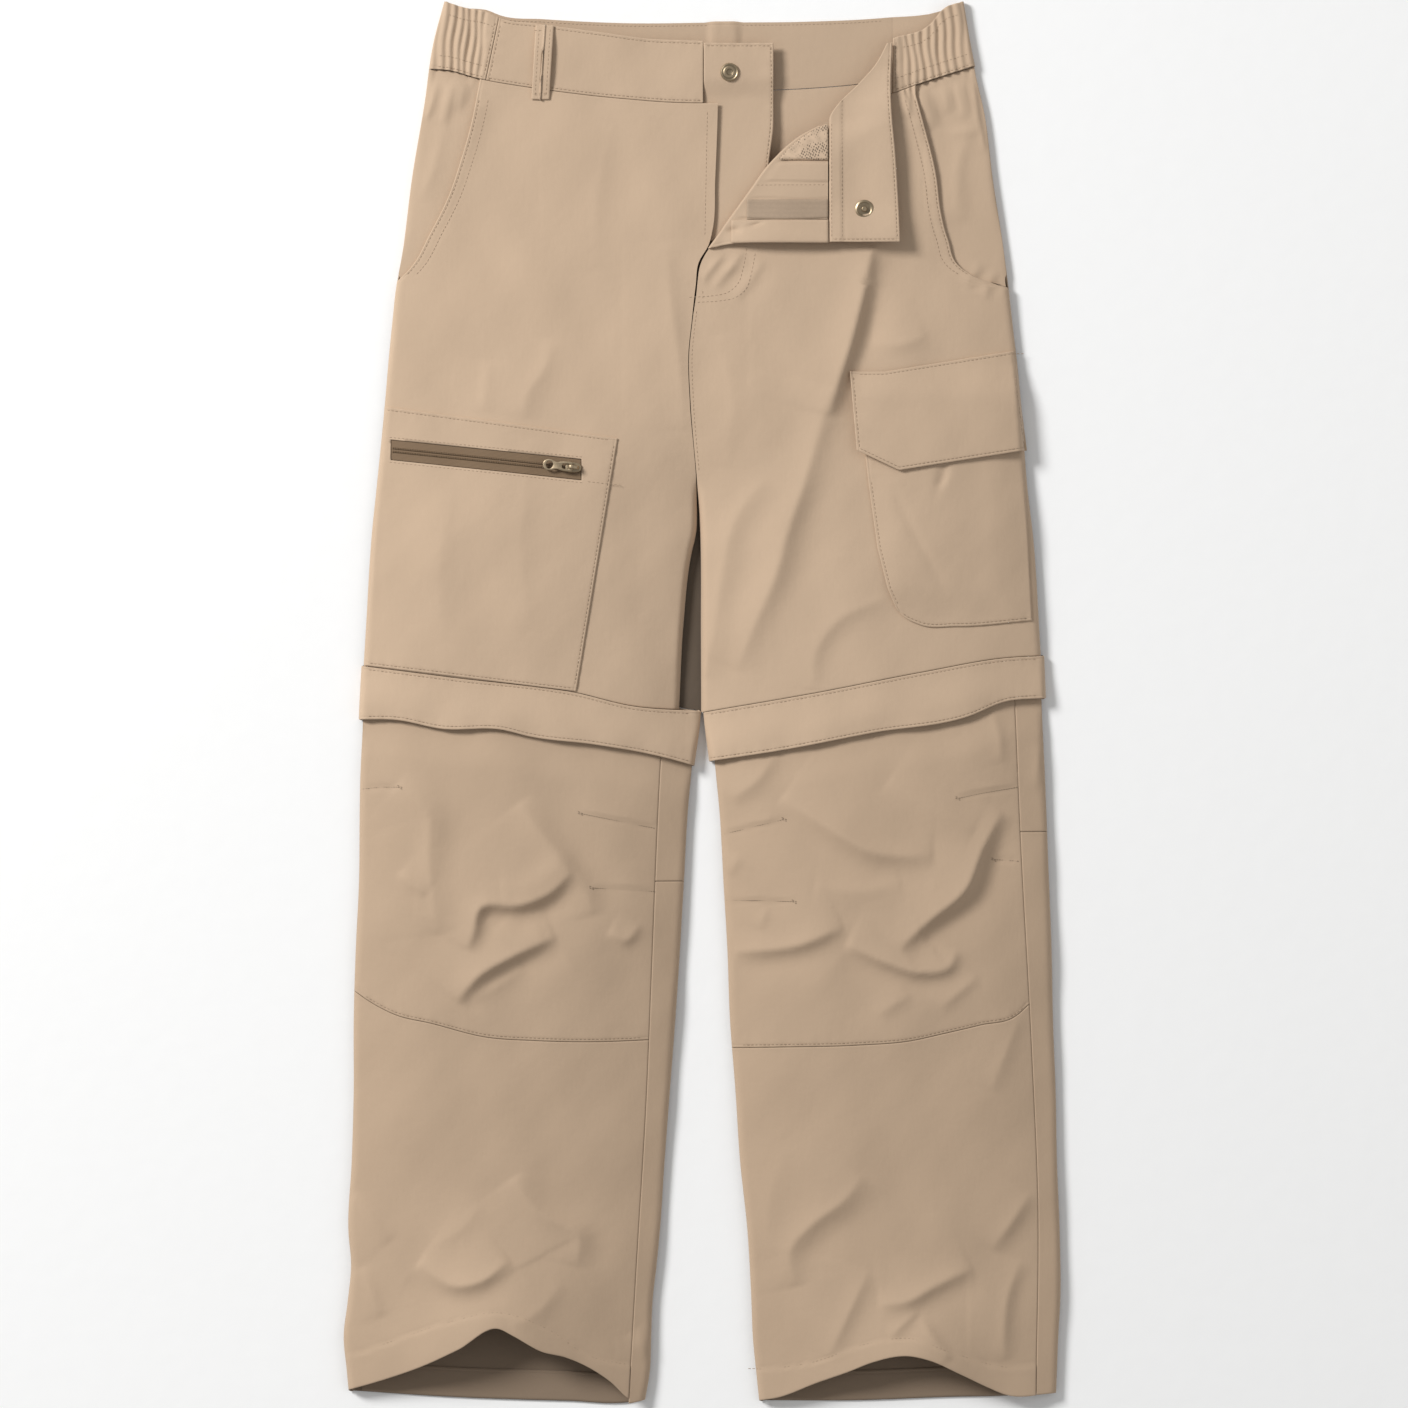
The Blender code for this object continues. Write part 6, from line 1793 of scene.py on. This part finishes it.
class TrouserLooks(bpy.types.PropertyGroup):
    upper_colour: FloatVectorProperty(
        name="Upper cloth", description="Colour of the waist and thighs", subtype="COLOR",
        min=0.0, max=1.0, default=(0.530, 0.388, 0.268))
    lower_colour: FloatVectorProperty(
        name="Lower cloth", description="Colour of the zip-off legs", subtype="COLOR",
        min=0.0, max=1.0, default=(0.475, 0.345, 0.236))
    tape_colour: FloatVectorProperty(
        name="Zip tape", description="Colour of the zip tapes and coils", subtype="COLOR",
        min=0.0, max=1.0, default=(0.205, 0.130, 0.070))
    brass_colour: FloatVectorProperty(
        name="Brass", description="Colour of the snaps, slider and pull", subtype="COLOR",
        min=0.0, max=1.0, default=(0.300, 0.235, 0.155))
    floor_colour: FloatVectorProperty(
        name="Floor", description="Colour of the floor under the trousers", subtype="COLOR",
        min=0.0, max=1.0, default=(0.93, 0.93, 0.925))
    fold_strength: FloatProperty(
        name="Folds", description="Depth of the creases, as a share of the measured ones",
        min=0.0, max=2.0, default=1.0, subtype="FACTOR")
    stitch_pitch: FloatProperty(
        name="Stitch", description="Length of one stitch with its gap", default=0.0031, unit="LENGTH")
    thread_thickness: FloatProperty(
        name="Thread", description="Thickness of the sewing thread", default=0.00050, unit="LENGTH")
    key_power: FloatProperty(
        name="Key light", description="Power of the light from the upper left, in watts", default=275.0)
    fill_power: FloatProperty(
        name="Fill light", description="Power of the light from the right, in watts", default=12.0)
    ambient: FloatProperty(
        name="Ambient", description="Strength of the even light all round", default=0.36)


class Step:
    """Runs one group's function; each operator names its own."""

    bl_options = {"REGISTER", "UNDO"}

    def execute(self, context):
        self.build()
        return {"FINISHED"}


class TROUSERS_OT_backs(Step, bpy.types.Operator):
    """Two upper back panels"""

    bl_idname = "trousers.backs"
    bl_label = "Upper back"
    build = staticmethod(build_backs)


class TROUSERS_OT_fronts(Step, bpy.types.Operator):
    """Two upper fronts with their folds and the edges of the hand pockets"""

    bl_idname = "trousers.fronts"
    bl_label = "Upper front"
    build = staticmethod(build_fronts)


class TROUSERS_OT_side_facings(Step, bpy.types.Operator):
    """Hip pieces that show in the hand pockets"""

    bl_idname = "trousers.side_facings"
    bl_label = "Hand pockets"
    build = staticmethod(build_side_facings)


class TROUSERS_OT_waistband(Step, bpy.types.Operator):
    """Waistband with its gathered elastic sides"""

    bl_idname = "trousers.waistband"
    bl_label = "Waistband"
    build = staticmethod(build_waistband)


class TROUSERS_OT_belt_loops(Step, bpy.types.Operator):
    """Belt loops at the front and the back"""

    bl_idname = "trousers.belt_loops"
    bl_label = "Belt loops"
    build = staticmethod(build_belt_loops)


class TROUSERS_OT_fly(Step, bpy.types.Operator):
    """Shield behind the fly, with its tab"""

    bl_idname = "trousers.fly"
    bl_label = "Fly shield"
    build = staticmethod(build_fly)


class TROUSERS_OT_corner(Step, bpy.types.Operator):
    """Turned-back fly corner with its facing, zip tape and pocket net"""

    bl_idname = "trousers.corner"
    bl_label = "Turned-back corner"
    build = staticmethod(build_corner)


class TROUSERS_OT_thigh_pocket(Step, bpy.types.Operator):
    """Zip pocket on the wearer's right thigh"""

    bl_idname = "trousers.thigh_pocket"
    bl_label = "Thigh pocket"
    build = staticmethod(build_thigh_pocket)


class TROUSERS_OT_cargo_pocket(Step, bpy.types.Operator):
    """Cargo pocket and its flap on the wearer's left thigh"""

    bl_idname = "trousers.cargo_pocket"
    bl_label = "Cargo pocket"
    build = staticmethod(build_cargo_pocket)


class TROUSERS_OT_zip_off_bands(Step, bpy.types.Operator):
    """Storm flaps over the knee zips, and the zips"""

    bl_idname = "trousers.zip_off_bands"
    bl_label = "Zip-off bands"
    build = staticmethod(build_zip_off_bands)


class TROUSERS_OT_lower_legs(Step, bpy.types.Operator):
    """Zip-off lower legs, front and back"""

    bl_idname = "trousers.lower_legs"
    bl_label = "Lower legs"
    build = staticmethod(build_lower_legs)


class TROUSERS_OT_zip_pull(Step, bpy.types.Operator):
    """Slider and pull of the thigh zip"""

    bl_idname = "trousers.zip_pull"
    bl_label = "Zip slider"
    build = staticmethod(build_zip_pull)


class TROUSERS_OT_snaps(Step, bpy.types.Operator):
    """Snap halves of the waistband"""

    bl_idname = "trousers.snaps"
    bl_label = "Snaps"
    build = staticmethod(build_snaps)


class TROUSERS_OT_stage(Step, bpy.types.Operator):
    """Floor, lights and camera"""

    bl_idname = "trousers.stage"
    bl_label = "Stage"
    build = staticmethod(build_stage)


STEPS = (
    TROUSERS_OT_backs, TROUSERS_OT_fronts, TROUSERS_OT_side_facings, TROUSERS_OT_waistband,
    TROUSERS_OT_belt_loops, TROUSERS_OT_fly, TROUSERS_OT_corner, TROUSERS_OT_thigh_pocket,
    TROUSERS_OT_cargo_pocket, TROUSERS_OT_zip_off_bands, TROUSERS_OT_lower_legs,
    TROUSERS_OT_zip_pull, TROUSERS_OT_snaps, TROUSERS_OT_stage)


class TROUSERS_PT_panel(bpy.types.Panel):
    """Lists the steps and the settings"""

    bl_idname = "TROUSERS_PT_panel"
    bl_label = "Trousers"
    bl_space_type = "VIEW_3D"
    bl_region_type = "UI"
    bl_category = "Trousers"

    def draw(self, context):
        for key in TrouserLooks.__annotations__:
            self.layout.prop(context.scene.trouser_looks, key)
        for step in STEPS:
            self.layout.operator(step.bl_idname)


CLASSES = (TrouserLooks, *STEPS, TROUSERS_PT_panel)


def register():
    for item in CLASSES:
        bpy.utils.register_class(item)
    bpy.types.Scene.trouser_looks = PointerProperty(type=TrouserLooks)


def unregister():
    del bpy.types.Scene.trouser_looks
    for item in reversed(CLASSES):
        bpy.utils.unregister_class(item)


def main():
    register()
    bpy.ops.trousers.backs()
    bpy.ops.trousers.fronts()
    bpy.ops.trousers.side_facings()
    bpy.ops.trousers.waistband()
    bpy.ops.trousers.belt_loops()
    bpy.ops.trousers.fly()
    bpy.ops.trousers.corner()
    bpy.ops.trousers.thigh_pocket()
    bpy.ops.trousers.cargo_pocket()
    bpy.ops.trousers.zip_off_bands()
    bpy.ops.trousers.lower_legs()
    bpy.ops.trousers.zip_pull()
    bpy.ops.trousers.snaps()
    bpy.ops.trousers.stage()


if __name__ == "__main__":
    main()
